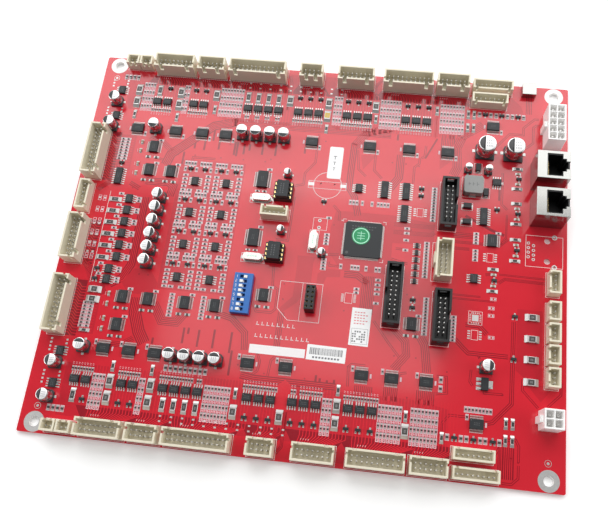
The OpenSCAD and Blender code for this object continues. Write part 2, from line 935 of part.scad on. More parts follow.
module stadium_label(length, width, r) {
    block([length - 2 * r, width, label_t]);
    block([length, width - 2 * r, label_t]);
    for (x = [-1, 1], y = [-1, 1])
        translate([x * (length / 2 - r), y * (width / 2 - r), 0])
            cylinder(r = r, h = label_t);
}

// --- Assembly ------------------------------------------------------------------------
pcb();
far_edge_housings();
near_edge_housings();
left_edge_housings();
two_row_pins();
one_row_housings();
one_row_pins();
service_header_housing();
service_header_pins();
box_header_housings();
box_header_pins();
expansion_socket_body();
expansion_socket_contacts();
motor_power_header();
supply_power_header();
power_header_pins();
jack_shields();
jack_inserts();
jack_contacts();
usb_shell();
usb_insert();
switch_body();
switch_slider_1();
switch_slider_2();
switch_slider_3();
switch_slider_4();
switch_slider_5();
switch_slider_6();
switch_slider_7();
switch_slider_8();
ic_sockets();
ic_socket_contacts();
socketed_ics();
crystal_flanges();
crystal_cans();
controller_body();
controller_leads();
controller_sticker();
driver_bodies();
driver_leads();
logic_bodies();
logic_leads();
buffer_bodies();
small_transistor_bodies();
regulator_body();
regulator_leads();
inductor_core();
inductor_terminals();
diode_bodies();
diode_terminals();
large_cap_bases();
large_cap_cans();
medium_cap_bases();
medium_cap_cans();
small_cap_bases();
small_cap_cans();
chip_part_bodies();
chip_part_terminals();
labels();
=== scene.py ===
"""Looks of the motor and sensor connection board: mask, copper, parts, light and camera.

Lengths are in millimetres and are turned into metres where a mesh is made.
"""
import json
import math
import random

import bpy
from mathutils import Matrix, Vector


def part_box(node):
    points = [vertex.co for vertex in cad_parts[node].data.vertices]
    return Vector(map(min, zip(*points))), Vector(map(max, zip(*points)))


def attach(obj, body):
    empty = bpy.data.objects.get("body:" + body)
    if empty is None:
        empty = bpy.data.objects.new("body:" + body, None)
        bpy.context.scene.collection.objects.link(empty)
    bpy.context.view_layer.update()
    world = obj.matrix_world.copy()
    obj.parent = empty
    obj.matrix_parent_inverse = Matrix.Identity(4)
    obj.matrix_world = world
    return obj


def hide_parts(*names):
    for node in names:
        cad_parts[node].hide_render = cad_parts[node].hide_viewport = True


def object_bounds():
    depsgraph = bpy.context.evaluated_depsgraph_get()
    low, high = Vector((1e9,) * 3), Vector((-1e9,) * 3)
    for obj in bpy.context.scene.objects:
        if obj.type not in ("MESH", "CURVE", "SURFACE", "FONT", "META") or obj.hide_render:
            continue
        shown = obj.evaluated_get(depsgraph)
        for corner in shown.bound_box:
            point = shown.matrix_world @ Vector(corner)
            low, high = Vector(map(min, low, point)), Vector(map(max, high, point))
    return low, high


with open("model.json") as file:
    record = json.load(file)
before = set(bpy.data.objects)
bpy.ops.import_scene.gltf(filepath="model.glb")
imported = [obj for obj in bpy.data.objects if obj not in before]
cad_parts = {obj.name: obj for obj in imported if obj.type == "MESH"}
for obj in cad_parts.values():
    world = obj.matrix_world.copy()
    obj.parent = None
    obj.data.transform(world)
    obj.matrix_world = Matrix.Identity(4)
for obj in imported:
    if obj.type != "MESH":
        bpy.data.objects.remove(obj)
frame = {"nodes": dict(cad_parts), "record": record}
cad_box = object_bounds()
MM = 0.001
BOARD = "board"
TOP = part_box("pcb")[1][2] / MM


# --- Shapes ----------------------------------------------------------------------------
class Shape:
    """Collects faces and makes one mesh piece of them. Each face has a material number."""

    def __init__(self):
        self.points, self.faces, self.slots = [], [], []

    def face(self, corners, m=0):
        start = len(self.points)
        self.points += [tuple(c) for c in corners]
        self.faces.append(range(start, start + len(corners)))
        self.slots.append(m)

    def loft(self, rings, m=0, caps=(True, True)):
        """Walls between rings of equally many points, with the ends closed."""
        for low, high in zip(rings, rings[1:]):
            n = len(low)
            for i in range(n):
                j = (i + 1) % n
                self.face([low[i], low[j], high[j], high[i]], m)
        if caps[0]:
            self.face(rings[0][::-1], m)
        if caps[1]:
            self.face(rings[-1], m)

    def box(self, x, y, w, d, z0, z1, m=0, turn=0, chamfer=0.0):
        """A block whose top edges are cut by chamfer."""
        a = math.radians(turn)
        ca, sa = math.cos(a), math.sin(a)

        def ring(inset, z):
            u, v = w / 2 - inset, d / 2 - inset
            return [(x + p * ca - q * sa, y + p * sa + q * ca, z)
                    for p, q in ((-u, -v), (u, -v), (u, v), (-u, v))]

        rings = [ring(0, z0)]
        if chamfer:
            rings.append(ring(0, z1 - chamfer))
        rings.append(ring(chamfer, z1))
        self.loft(rings, m)

    def flat(self, x, y, w, d, z, m=0, turn=0):
        a = math.radians(turn)
        ca, sa = math.cos(a), math.sin(a)
        u, v = w / 2, d / 2
        self.face([(x + p * ca - q * sa, y + p * sa + q * ca, z)
                   for p, q in ((-u, -v), (u, -v), (u, v), (-u, v))], m)

    def lathe(self, x, y, profile, n=32, slots=None, caps=(True, True)):
        """A turned shape: profile is (radius, height) from the bottom up."""
        rings = [[(x + r * math.cos(2 * math.pi * i / n), y + r * math.sin(2 * math.pi * i / n), z)
                  for i in range(n)] for r, z in profile]
        for k in range(len(rings) - 1):
            self.loft(rings[k:k + 2], slots[k] if slots else 0, caps=(False, False))
        if caps[0]:
            self.face(rings[0][::-1], slots[0] if slots else 0)
        if caps[1]:
            self.face(rings[-1], slots[-1] if slots else 0)

    def annulus(self, x, y, r0, r1, z, m=0, n=24):
        steps = [math.radians(360 * i / n) for i in range(n + 1)]
        for s, t in zip(steps, steps[1:]):
            self.face([(x + r * math.cos(a), y + r * math.sin(a), z)
                       for r, a in ((r0, s), (r1, s), (r1, t), (r0, t))], m)

    def line(self, route, width, z, m=0, aside=0.0):
        """A flat strip along a route of points, mitred at the corners and shifted aside."""
        sides = []
        for i, p in enumerate(route):
            before = Vector(route[max(i - 1, 0)])
            after = Vector(route[min(i + 1, len(route) - 1)])
            here = Vector(p)
            a = (here - before).normalized() if i else (after - here).normalized()
            b = (after - here).normalized() if i < len(route) - 1 else a
            normal = Vector((-(a + b).y, (a + b).x)).normalized()
            mitre = max(0.5, normal.dot(Vector((-a.y, a.x))))
            here = here + normal * (aside / mitre)
            reach = width / 2 / mitre
            sides.append((here + normal * reach, here - normal * reach))
        for (l0, r0), (l1, r1) in zip(sides, sides[1:]):
            self.face([(r0.x, r0.y, z), (r1.x, r1.y, z), (l1.x, l1.y, z), (l0.x, l0.y, z)], m)

    def outline(self, x, y, w, d, z, m=0, t=0.2, turn=0):
        """Four thin strips round a rectangle."""
        a = math.radians(turn)
        ca, sa = math.cos(a), math.sin(a)
        for p, q, lw, ld in ((0, d / 2, w + t, t), (0, -d / 2, w + t, t),
                             (w / 2, 0, t, d - t), (-w / 2, 0, t, d - t)):
            self.flat(x + p * ca - q * sa, y + p * sa + q * ca, lw, ld, z, m, turn)

    def make(self, name, materials, slot=None, body=BOARD, replaces=(), smooth=0):
        mesh = bpy.data.meshes.new(name)
        mesh.from_pydata([(p[0] * MM, p[1] * MM, p[2] * MM) for p in self.points], [],
                         [list(f) for f in self.faces])
        for m in materials:
            mesh.materials.append(m)
        mesh.polygons.foreach_set("material_index", self.slots)
        obj = bpy.data.objects.new(name, mesh)
        bpy.context.scene.collection.objects.link(obj)
        if smooth:
            weld = obj.modifiers.new("weld", "WELD")
            weld.merge_threshold = 1e-6
            mesh.polygons.foreach_set("use_smooth", [True] * len(mesh.polygons))
            split = obj.modifiers.new("sharp", "EDGE_SPLIT")
            split.split_angle = math.radians(smooth)
        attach(obj, body)
        if replaces:
            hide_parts(*replaces)
        return obj


def solids(node):
    """(centre x, centre y, width, depth, bottom, top) of each separate solid of a CAD node."""
    mesh = frame["nodes"][node].data
    place = [tuple(round(c / MM, 3) for c in v.co) for v in mesh.vertices]
    owner = {}

    def find(p):
        while owner.setdefault(p, p) != p:
            owner[p] = owner[owner[p]]
            p = owner[p]
        return p

    for poly in mesh.polygons:
        first = find(place[poly.vertices[0]])
        for i in poly.vertices[1:]:
            owner[find(place[i])] = first
    groups = {}
    for p in place:
        groups.setdefault(find(p), []).append(p)
    found = []
    for pts in groups.values():
        lo = [min(p[k] for p in pts) for k in range(3)]
        hi = [max(p[k] for p in pts) for k in range(3)]
        found.append(((lo[0] + hi[0]) / 2, (lo[1] + hi[1]) / 2, hi[0] - lo[0], hi[1] - lo[1],
                      lo[2], hi[2]))
    return sorted(found)


def spread(n, pitch):
    return [(i - (n - 1) / 2) * pitch for i in range(n)]


# --- Materials -------------------------------------------------------------------------
def material(name, color, roughness, metallic=0.0, vary=0.0, grain=0.0, grain_scale=400.0,
             coat=0.0, subsurface=0.0, rough_vary=0.0):
    """A principled material whose colour, roughness and bump carry fine procedural detail."""
    mat = bpy.data.materials.new(name)
    mat.use_nodes = True
    nodes, links = mat.node_tree.nodes, mat.node_tree.links
    bsdf = nodes["Principled BSDF"]
    bsdf.inputs["Base Color"].default_value = (*color, 1)
    bsdf.inputs["Roughness"].default_value = roughness
    bsdf.inputs["Metallic"].default_value = metallic
    bsdf.inputs["Coat Weight"].default_value = coat
    bsdf.inputs["Coat Roughness"].default_value = 0.08
    bsdf.inputs["Subsurface Weight"].default_value = subsurface
    bsdf.inputs["Subsurface Radius"].default_value = (0.002, 0.002, 0.002)
    where = nodes.new("ShaderNodeTexCoord").outputs["Object"]
    noise = nodes.new("ShaderNodeTexNoise")
    noise.inputs["Scale"].default_value = grain_scale
    noise.inputs["Detail"].default_value = 4
    links.new(where, noise.inputs["Vector"])
    if vary:
        ramp = nodes.new("ShaderNodeMapRange")
        ramp.inputs["To Min"].default_value = 1 - vary
        ramp.inputs["To Max"].default_value = 1 + vary
        links.new(noise.outputs["Fac"], ramp.inputs["Value"])
        mix = nodes.new("ShaderNodeVectorMath")
        mix.operation = "SCALE"
        mix.inputs[0].default_value = color
        links.new(ramp.outputs["Result"], mix.inputs["Scale"])
        links.new(mix.outputs["Vector"], bsdf.inputs["Base Color"])
    if rough_vary:
        spots = nodes.new("ShaderNodeMapRange")
        spots.inputs["To Min"].default_value = roughness - rough_vary
        spots.inputs["To Max"].default_value = roughness + rough_vary
        links.new(noise.outputs["Fac"], spots.inputs["Value"])
        links.new(spots.outputs["Result"], bsdf.inputs["Roughness"])
    if grain:
        bump = nodes.new("ShaderNodeBump")
        bump.inputs["Strength"].default_value = grain
        bump.inputs["Distance"].default_value = 0.0001
        links.new(noise.outputs["Fac"], bump.inputs["Height"])
        links.new(bump.outputs["Normal"], bsdf.inputs["Normal"])
    return mat


def glow(mat, color, strength):
    """Adds a little light of its own: on thin nylon a painted glow standing in for light shining
    through from behind, and on the floor an even brightness.
    """
    sockets = mat.node_tree.nodes["Principled BSDF"].inputs
    sockets["Emission Color"].default_value = (*color, 1)
    sockets["Emission Strength"].default_value = strength


MASK = material("mask_over_copper", (0.64, 0.015, 0.030), 0.16, vary=0.05, grain=0.02,
                grain_scale=60, coat=0.5, rough_vary=0.02)
MASK_MID = material("mask_over_fine_tracks", (0.53, 0.012, 0.026), 0.18, vary=0.06, grain=0.02,
                    grain_scale=90, coat=0.45)
MASK_DARK = material("mask_over_laminate", (0.27, 0.005, 0.015), 0.18, vary=0.06, grain=0.02,
                     grain_scale=90, coat=0.45)
MASK_TRACK = material("mask_over_track", (0.66, 0.016, 0.031), 0.16, vary=0.05, coat=0.5,
                      grain=0.02)
INK = material("printed_ink", (0.80, 0.55, 0.60), 0.5, vary=0.08, grain=0.2, grain_scale=900)
INK_WHITE = material("printed_ink_solid", (0.88, 0.84, 0.84), 0.5, vary=0.06, grain=0.2,
                     grain_scale=900)
SOLDER = material("solder", (0.60, 0.59, 0.58), 0.38, metallic=0.6, vary=0.12, grain=0.12,
                  grain_scale=1100, rough_vary=0.1)
PLATED = material("plated_hole", (0.93, 0.92, 0.90), 0.45, metallic=0.15, vary=0.04, grain=0.03)
FUSE_GOLD = material("yellow_glaze", (0.62, 0.42, 0.06), 0.35, vary=0.1, grain=0.08)
TIN = material("tinned_metal", (0.66, 0.65, 0.63), 0.34, metallic=0.6, vary=0.08, grain=0.05,
               grain_scale=900)
GOLD = material("gold_plate", (0.86, 0.66, 0.30), 0.25, metallic=1.0, vary=0.06, grain=0.08,
                grain_scale=900)
CREAM = material("cream_nylon", (0.80, 0.745, 0.59), 0.42, vary=0.04, grain=0.05,
                 grain_scale=700, subsurface=0.1)
# White nylon with a painted glow: it gives off a little light of its own, standing in for light
# shining through it.
WHITE_NYLON_GLOWING = material("white_nylon", (0.95, 0.94, 0.92), 0.35, vary=0.02, grain=0.04,
                       grain_scale=600, subsurface=0.7)
glow(WHITE_NYLON_GLOWING, (1.0, 0.97, 0.96), 0.07)
BLACK_NYLON = material("black_nylon", (0.010, 0.010, 0.011), 0.38, vary=0.15, grain=0.15,
                       grain_scale=800)
EPOXY = material("chip_epoxy", (0.012, 0.015, 0.018), 0.5, vary=0.15, grain=0.15,
                 grain_scale=2500)
EPOXY_MARK = material("chip_epoxy_marked", (0.10, 0.105, 0.11), 0.6, vary=0.2, grain=0.3,
                      grain_scale=2500)
SHIELD = material("nickel_shield", (0.37, 0.37, 0.355), 0.17, metallic=1.0, vary=0.04, grain=0.02,
                  grain_scale=300, rough_vary=0.06)
BLUE = material("switch_blue", (0.021, 0.143, 0.465), 0.36, vary=0.06, grain=0.12,
                grain_scale=700, subsurface=0.05)
SLIDER = material("slider_white", (0.88, 0.88, 0.86), 0.35, vary=0.03, grain=0.08,
                  grain_scale=700)
CAN = material("aluminium_can", (0.62, 0.61, 0.61), 0.22, metallic=1.0, vary=0.04, grain=0.01,
               grain_scale=300, rough_vary=0.03)
CAN_TOP = material("aluminium_top", (0.90, 0.90, 0.90), 0.42, metallic=0.35, vary=0.04,
                   grain=0.15, grain_scale=900)
CAN_BLACK = material("can_print", (0.03, 0.032, 0.036), 0.42, vary=0.15, grain=0.1)
CAN_GREY = material("can_figures", (0.42, 0.42, 0.44), 0.5, vary=0.15, grain=0.1)
CERAMIC_BROWN = material("chip_capacitor", (0.30, 0.25, 0.17), 0.45, vary=0.15, grain=0.2,
                         grain_scale=1500)
CERAMIC_BLACK = material("chip_resistor", (0.045, 0.043, 0.042), 0.4, vary=0.2, grain=0.2,
                         grain_scale=1500)
FUSE_TOP = material("fuse_top", (0.060, 0.056, 0.052), 0.42, vary=0.3, grain=0.2, grain_scale=1200)
FERRITE = material("inductor_ferrite", (0.286, 0.292, 0.286), 0.55, vary=0.1, grain=0.4,
                   grain_scale=1300)
CRYSTAL = material("crystal_metal", (0.60, 0.58, 0.55), 0.24, metallic=0.9, vary=0.04, grain=0.02,
                   grain_scale=400, rough_vary=0.06)
GREEN = material("green_sticker", (0.010, 0.28, 0.10), 0.5, vary=0.06, grain=0.12,
                 grain_scale=900)
GREEN_PALE = material("green_sticker_print", (0.45, 0.85, 0.65), 0.5, vary=0.05, grain=0.1)
PAPER = material("label_paper", (0.90, 0.90, 0.90), 0.55, vary=0.03, grain=0.2,
                 grain_scale=900)
LABEL_INK = material("label_ink", (0.16, 0.16, 0.17), 0.6, vary=0.15, grain=0.1)
LABEL_RED = material("label_red", (0.72, 0.16, 0.18), 0.6, vary=0.15, grain=0.1)


def dress(mat, *nodes, bevel=0.0):
    """Gives CAD nodes their finished material, and soft edges where a bevel is named."""
    for name in nodes:
        obj = frame["nodes"][name]
        obj.data.materials.clear()
        obj.data.materials.append(mat)
        if bevel:
            weld = obj.modifiers.new("weld", "WELD")
            weld.merge_threshold = 1e-6
            edge = obj.modifiers.new("edge", "BEVEL")
            edge.width = bevel * MM
            edge.segments = 2
            edge.limit_method = "ANGLE"
            edge.angle_limit = math.radians(40)
            edge.harden_normals = False


dress(CREAM, "far_edge_housings", "near_edge_housings", "left_edge_housings",
      "one_row_housings", "service_header_housing", bevel=0.12)
dress(TIN, "two_row_pins", "one_row_pins", "service_header_pins", "power_header_pins", bevel=0.15)
dress(BLACK_NYLON, "box_header_housings", "expansion_socket_body", "ic_sockets", bevel=0.12)
dress(BLACK_NYLON, "jack_inserts", "usb_insert")
dress(TIN, "box_header_pins", bevel=0.15)
dress(GOLD, "expansion_socket_contacts", "jack_contacts", "ic_socket_contacts")
# The power headers get the white nylon with its painted glow.
dress(WHITE_NYLON_GLOWING, "motor_power_header", "supply_power_header", bevel=0.2)
dress(SHIELD, "jack_shields", "usb_shell", bevel=0.15)
dress(BLUE, "switch_body", bevel=0.12)
dress(SLIDER, *[f"switch_slider_{k}" for k in range(1, 9)], bevel=0.12)
dress(EPOXY, "socketed_ics", bevel=0.1)
dress(CRYSTAL, "crystal_flanges", "crystal_cans", bevel=0.25)
dress(EPOXY, "controller_body", bevel=0.12)
dress(TIN, "controller_leads", "driver_leads", "logic_leads", "regulator_leads",
      "inductor_terminals", "diode_terminals")
dress(EPOXY, "regulator_body", "diode_bodies", bevel=0.15)
dress(FERRITE, "inductor_core", bevel=0.25)
dress(CAN_BLACK, "large_cap_bases", "medium_cap_bases", "small_cap_bases", bevel=0.12)
dress(GREEN, "controller_sticker")
dress(PAPER, "labels")
dress(MASK, "pcb")

# --- Heights of the flat layers above the mask -----------------------------------------
Z_CHANNEL = TOP + 0.01
Z_TRACK = TOP + 0.025
Z_PAD = TOP + 0.045
Z_INK = TOP + 0.055


# --- Copper under the mask -------------------------------------------------------------
def copper():
    """Dark channels where the copper is cut back, and tracks running along some of them."""
    art = Shape()
    MID, DARK, TRACK = 0, 1, 2
    z = [Z_CHANNEL]

    def patch(points, m=DARK):
        z[0] += 0.00004
        art.face([(x, y, z[0]) for x, y in points], m)

    def channel(route, width, m=DARK):
        z[0] += 0.00004
        art.line(route, width, z[0], m)

    def bundle(route, n, pitch=0.62, width=0.3, bed=DARK):
        """Parallel tracks on a dark bed."""
        channel(route, n * pitch + 0.3, bed)
        for t in spread(n, pitch):
            art.line(route, width, Z_TRACK, TRACK, aside=t)

    def outlined(route, width=0.32, gap=0.9):
        """A thin track with a dark line on both sides."""
        for s in (-1, 1):
            art.line(route, width, Z_CHANNEL + 0.008, DARK, aside=s * gap / 2)

    # The strips of filters and drivers along both long edges, and the sense cells
    patch([(-124, 101), (80, 101), (80, 76), (66, 74), (-58, 74), (-66, 77), (-117, 77)], MID)
    patch([(-118, -74), (60, -74), (79, -77), (79, -101), (-118, -101)], MID)
    patch([(-79, 47.5), (-42, 47.5), (-42, -30), (-79, -30)], MID)
    patch([(-123, 60), (-108, 60), (-108, 38), (-118, 30), (-123, 30)], MID)
    patch([(-123, -28), (-117, -34), (-108, -38), (-108, -58), (-123, -58)], MID)
    patch([(12, 24), (44, 24), (66, 21), (66, 9), (44, 8), (44, -10), (18, -10), (10, 0),
           (10, 14)], MID)
    # Wide channels
    for route, width in (
            (((-100, 60), (-92, 57), (-86, 52)), 3.0),
            (((-88, 43), (-86, 50), (-74, 61), (-64, 70), (-50, 74)), 5.6),
            (((-54, 73.4), (38, 73.4)), 5.0),
            (((17.8, 66), (17.4, 44), (17.6, 38), (21, 33), (24, 22)), 3.6),
            (((18, 64), (24, 73), (38, 77.5)), 5.0),
            (((44.4, 61), (44.4, 47), (40, 40)), 4.4),
            (((70, 60), (70, 76)), 7.5),
            (((89, 84), (78, 76), (75, 68), (76, 56), (74, 51)), 5.0),
            (((114.2, 104), (114.2, 93)), 3.2),
            (((64, 73), (58, 60)), 0.9),
            (((-97.5, 32), (-84, 32), (-81, 30), (-82, 24)), 4.4),
            (((-95.5, 22), (-95.5, -18), (-99, -26), (-105, -30)), 4.6),
            (((-106, 30), (-100, 27)), 2.5),
            (((-88, -36), (-88, -44), (-84, -54), (-80, -60)), 6.5),
            (((-104, -62), (-92, -62), (-86, -58)), 3.0),
            (((-79, -38), (-73, -47), (-65, -47), (-61, -41)), 5.0),
            (((-45, -40), (-36, -42), (-28, -49), (-27, -58)), 3.4),
            (((-10.5, -36), (-10.5, -56)), 3.2),
            (((-27, -71), (-20, -72), (22, -72)), 3.6),
            (((33.5, -12), (33.5, -33)), 7.0),
            (((20, -12), (27, -12), (33, -16)), 3.6),
            (((48, -38), (55, -45), (56, -52), (50, -60)), 4.0),
            (((60, -38), (65, -46), (66, -53), (67, -60)), 4.2),
            (((36, -70), (36, -75)), 9.0),
            (((49.6, -69), (49.6, -76)), 7.0),
            (((67, -69), (67, -76)), 9.0),
            (((80, -41), (84, -45), (87, -47.6), (107, -47.6)), 2.4),
            (((109.4, -29), (109.4, -71), (100.5, -81), (96, -82)), 2.2),
            (((108.6, -92), (108.6, -107)), 5.6),
            (((82, 27.5), (97, 20), (103, 18)), 1.6),
            (((76, 16), (88, 16)), 3.0),
            (((85, -33), (92, -33), (96, -37)), 2.4)):
        channel(route, width)
        if width > 2:
            for t in spread(int(width / 0.95), 0.95):
                art.line(route, 0.5, Z_TRACK, TRACK, aside=t)
    for points in (
            ((101, 92), (101, 100), (104, 103.5), (110, 97.5), (111.5, 92)),
            ((22, 59), (30.5, 59), (24, 50)), ((66, 60), (73, 60), (66.4, 54)),
            ((-6, -4), (4, -4), (3, -7), (3, -19), (-3, -30), (-11, -37), (-12.4, -34.5),
             (-5.6, -27), (-5.6, -7)),
            ((6, -13), (10.5, -10), (18, -10), (18, -14), (11, -14.6), (9.6, -18.6), (6, -18.6)),
            ((111, -22), (124, -22), (124, -58), (116, -58), (111, -54)),
            ((116.6, -60.5), (130, -60.5), (123.7, -68.5)),
            ((-93, -20), (-84, -20), (-79, -27), (-80, -34), (-94, -34), (-99, -28)),
            ((-24, 108), (3, 108), (3, 101), (-24, 101)),
            ((-122, -20), (-117, -20), (-108, -33), (-114, -34)),
            ((24, -101), (30, -101), (30, -108.5), (24, -108.5))):
        patch(points, MID)
    # Pour let back in between
    patch(((-7.2, -74), (-3.6, -71), (0, -74), (0, -86), (-7.2, -86)), TRACK)
    patch(((112.4, -24), (124, -24), (124, -29), (113.5, -29), (112.4, -27)), MID)
    # Short fingers cut into the pour at the buffers' leads
    for x, y0, y1 in ((-73.2, 61, 54.6), (-67.6, 61, 54), (-63.2, 69, 60.5), (-59.3, 61, 55.2),
                      (-50, 61, 52.4), (-48.6, 61, 51.8), (-44.6, 60, 53.4), (-41.5, 60, 56),
                      (-34, 61, 54), (-26.4, 61, 54), (-9.8, 61, 57), (-78.6, 52, 44),
                      (-60, -49.6, -58), (-57.6, -49.4, -52.8), (-51.9, -50, -59),
                      (-75.6, -56.6, -60), (-43.8, -49, -59), (-34.6, -49.4, -60.5),
                      (-33.2, -59, -72), (11.6, -67, -72), (13.7, -68.4, -72), (17.4, -69, -73),
                      (21, -68.4, -73), (19.2, -70, -73), (41.8, 70, 74), (99.6, 45, 38)):
        channel(((x, y0), (x, y1)), 1.1)
    # Fans of tracks between the edge connectors and the parts behind them
    for x, y, w, d, z0, z1 in solids("far_edge_housings") + solids("near_edge_housings"):
        s = 1 if y > 0 else -1
        n = max(4, int(w / 1.35))
        patch([(x - w / 2 - 1, s * 101.3), (x + w / 2 + 1, s * 101.3), (x + w / 2 + 5, s * 95),
               (x - w / 2 - 5, s * 95)] if s > 0 else
              [(x - w / 2 - 1, s * 101.3), (x - w / 2 - 5, s * 95), (x + w / 2 + 5, s * 95),
               (x + w / 2 + 1, s * 101.3)])
        for t in spread(n, 1.25):
            far = t * 1.3 + (2.4 if s > 0 else 3.4)
            art.line([(x + t, s * 101.4), (x + t, s * 100.2), (x + far, s * (97.2 + 0.02 * abs(t))),
                      (x + far, s * 73.6)], 0.42, Z_TRACK, TRACK)
    for x, y, w, d, z0, z1 in solids("left_edge_housings"):
        patch([(-123.4, y + d / 2), (-123.4, y - d / 2), (-117, y - d / 2), (-117, y + d / 2)])
        for t in spread(int(d / 1.7), 1.6):
            art.line([(-123.6, y + t), (-121.5, y + t), (-119.5, y + t - 2), (-109, y + t - 2)],
                     0.45, Z_TRACK, TRACK)
    # Buses
    for route, n in (((( -117, 30), (-122, 26), (-123.5, 24)), 4),
                     (((-122, -18), (-110, -30), (-107, -36)), 5),
                     (((44, 19), (66, 19)), 3), (((44, 14.5), (64, 14.5), (66, 16)), 3),
                     (((76, 12), (101, 12), (105, 16)), 2), (((76, 8.4), (85, 8.4)), 2),
                     (((101, -4.2), (125, -4.6)), 1), (((101, -9), (104, -6.6), (125, -7)), 2),
                     (((94, -5), (100, -4)), 2), (((76, -17.4), (92, -17.4)), 1),
                     (((76, -19.4), (99, -19.4)), 1), (((104, 30), (104, 17), (101, 12)), 1),
                     (((-40, 108.6), (-24, 106), (-22.5, 100), (-23.4, 94), (-23, 84)), 2),
                     (((30, 109), (26.5, 104), (26.5, 96)), 2), (((59.4, 109), (59.4, 96)), 1),
                     (((-5, -87), (-5, -104), (-3.2, -106.6), (-1.4, -104), (-1.4, -87)), 2),
                     (((104.5, -92), (104.5, -107)), 2)):
        bundle(route, n)
    # Thin outlined tracks wandering over the board
    for route in (((-3, 70), (-3, 52), (-8, 45), (-8, 38), (-13, 36.6)),
                  ((30.3, 60), (30.3, 50), (35, 45.5)), ((20, 62), (21.6, 50), (26, 46)),
                  ((58, 68), (57.6, 61), (55.8, 60)),
                  ((55, 60), (55, 56.5), (52.4, 54), (52.4, 44)),
                  ((120, 90), (117.6, 90), (111.6, 84), (111.6, 79.5), (104, 79.5), (97, 71)),
                  ((121, 86), (118.4, 86), (117, 84.6), (117, 74.8), (113, 71)),
                  ((-12, 30), (-12.4, 4), (-19, 4)), ((-18, -11), (-17, -23)),
                  ((-27.6, -30), (-24, -37), (-16, -37), (-14, -35), (-14, -24), (-17, -22.4)),
                  ((-13, -70), (-12.4, -62), (-11, -60.4), (-2, -60.4)),
                  ((28, -71), (27.4, -61), (29, -59.6), (36, -59.6)),
                  ((-20, -58.6), (-18, -63), (-18.6, -68), (-24, -73)),
                  ((76, -98), (76, -84), (79.4, -79.6), (88, -79.6)),
                  ((95.5, -63.6), (96, -67), (105, -66.8)), ((89, -56), (88.6, -62), (90, -64)),
                  ((102, -97), (106, -89), (112, -88), (113.6, -91), (113.6, -98.6)),
                  ((106, -109), (110.5, -109), (113.6, -106), (113.6, -100)),
                  ((114.6, -58), (114.6, -63.6), (122.4, -71.6)),
                  ((133.4, -58), (133.4, -64), (127, -70.6)),
                  ((38, -36), (46, -46), (53, -54), (53, -60)),
                  ((57, -61), (54, -61.6), (52, -64)),
                  ((72, -61), (77, -61), (77.6, -69), (72, -70)),
                  ((92, -48), (93, -50)), ((-73, 47), (-73, 49), (-60, 49)),
                  ((10, -2), (16, -1.4)), ((11, -6), (11.6, -8), (17, -8)),
                  ((10, 27), (14, 23), (14, 18)), ((46, 5), (52, 5)), ((44, -1), (53, -3)),
                  ((101, 55), (101, 36), (104, 33)), ((-95, 47), (-90, 46), (-88, 43))):
        outlined(route)
    # Feed-through holes
    for x, y in ((-44, 50), (-31.4, 50), (-22.6, 50), (-72, 50.4), (-82, 50), (-57, 50), (40, 55.8),
                 (33.6, 72), (36.6, 72), (47.6, 55.6), (55, 54.8), (1.3, 65.8), (11.6, 15.4),
                 (-28.4, 51.6), (-11, -20.6), (-10.6, -29), (-8, -19), (22, -32), (54, -20),
                 (57, -8), (53.4, 16.4), (59, -42), (50, -53), (61, -53), (77, -58.4),
                 (58, -73.4), (105, -67), (92.6, -49.4), (110, -97), (113.4, -98.6),
                 (-20, -59.4), (-29, -66), (-15, -69), (6, -69.4), (27, -61), (-85, -23),
                 (-90, -23), (-121, 25.2), (-76, 35), (-84, 33), (-104, 27), (98, -25), (-53, 59)):
        art.annulus(x, y, 0.14, 0.42, Z_TRACK, DARK, n=10)
    art.make("copper_relief", [MASK_MID, MASK_DARK, MASK_TRACK], "solder_mask")


copper()

# --- Chips with moulded bodies ---------------------------------------------------------
def moulded(shape, x, y, w, d, z0, z1, m=0):
    """A moulded chip body: sides that lean in above and below the parting line."""
    mid = z0 + (z1 - z0) * 0.45
    lean = (z1 - z0) * 0.09

    def ring(inset, z):
        u, v = w / 2 - inset, d / 2 - inset
        return [(x - u, y - v, z), (x + u, y - v, z), (x + u, y + v, z), (x - u, y + v, z)]

    shape.loft([ring(lean, z0), ring(0, mid), ring(lean, z1 - 0.05), ring(lean + 0.05, z1)], m)


def dimple(shape, x, y, r, z, m=1):
    shape.annulus(x, y, 0.001, r, z, m, n=12)


def chip_bodies(node, name, mark=True):
    shape = Shape()
    for x, y, w, d, z0, z1 in solids(node):
        moulded(shape, x, y, w, d, z0 + 0.1, z1)
        if mark and max(w, d) > 3.5:
            dimple(shape, x - w / 2 + 0.75, y + d / 2 - 0.75, 0.3, z1 + 0.005)
    shape.make(name, [EPOXY, EPOXY_MARK], "chip_epoxy", replaces=[node])


chip_bodies("driver_bodies", "driver_chips")
chip_bodies("logic_bodies", "logic_chips")
chip_bodies("buffer_bodies", "buffer_chips")
chip_bodies("small_transistor_bodies", "transistor_chips", mark=False)


def lead(shape, x, y, direction, width, reach, height, m=0):
    """A short gull-wing lead leaving a body's side at (x, y) along direction."""
    dx, dy = direction
    sx, sy = -dy * width / 2, dx * width / 2
    steps = [(0, height), (reach * 0.4, height), (reach * 0.55, 0.12), (reach, 0.12)]
    for (a, za), (b, zb) in zip(steps, steps[1:]):
        shape.face([(x + dx * a - sx, y + dy * a - sy, TOP + za),
                    (x + dx * b - sx, y + dy * b - sy, TOP + zb),
                    (x + dx * b + sx, y + dy * b + sy, TOP + zb),
                    (x + dx * a + sx, y + dy * a + sy, TOP + za)], m)
    shape.box(x + dx * reach * 0.78, y + dy * reach * 0.78,
              reach * 0.44 if dx else width, width if dx else reach * 0.44,
              TOP + 0.03, TOP + 0.12, m)


def side_leads(shape, chip, count, pitch, width, reach, height, along_x):
    x, y, w, d = chip[:4]
    for s in (-1, 1):
        for t in spread(count, pitch):
            if along_x:
                lead(shape, x + t, y + s * d / 2, (0, s), width, reach, height)
            else:
                lead(shape, x + s * w / 2, y + t, (s, 0), width, reach, height)


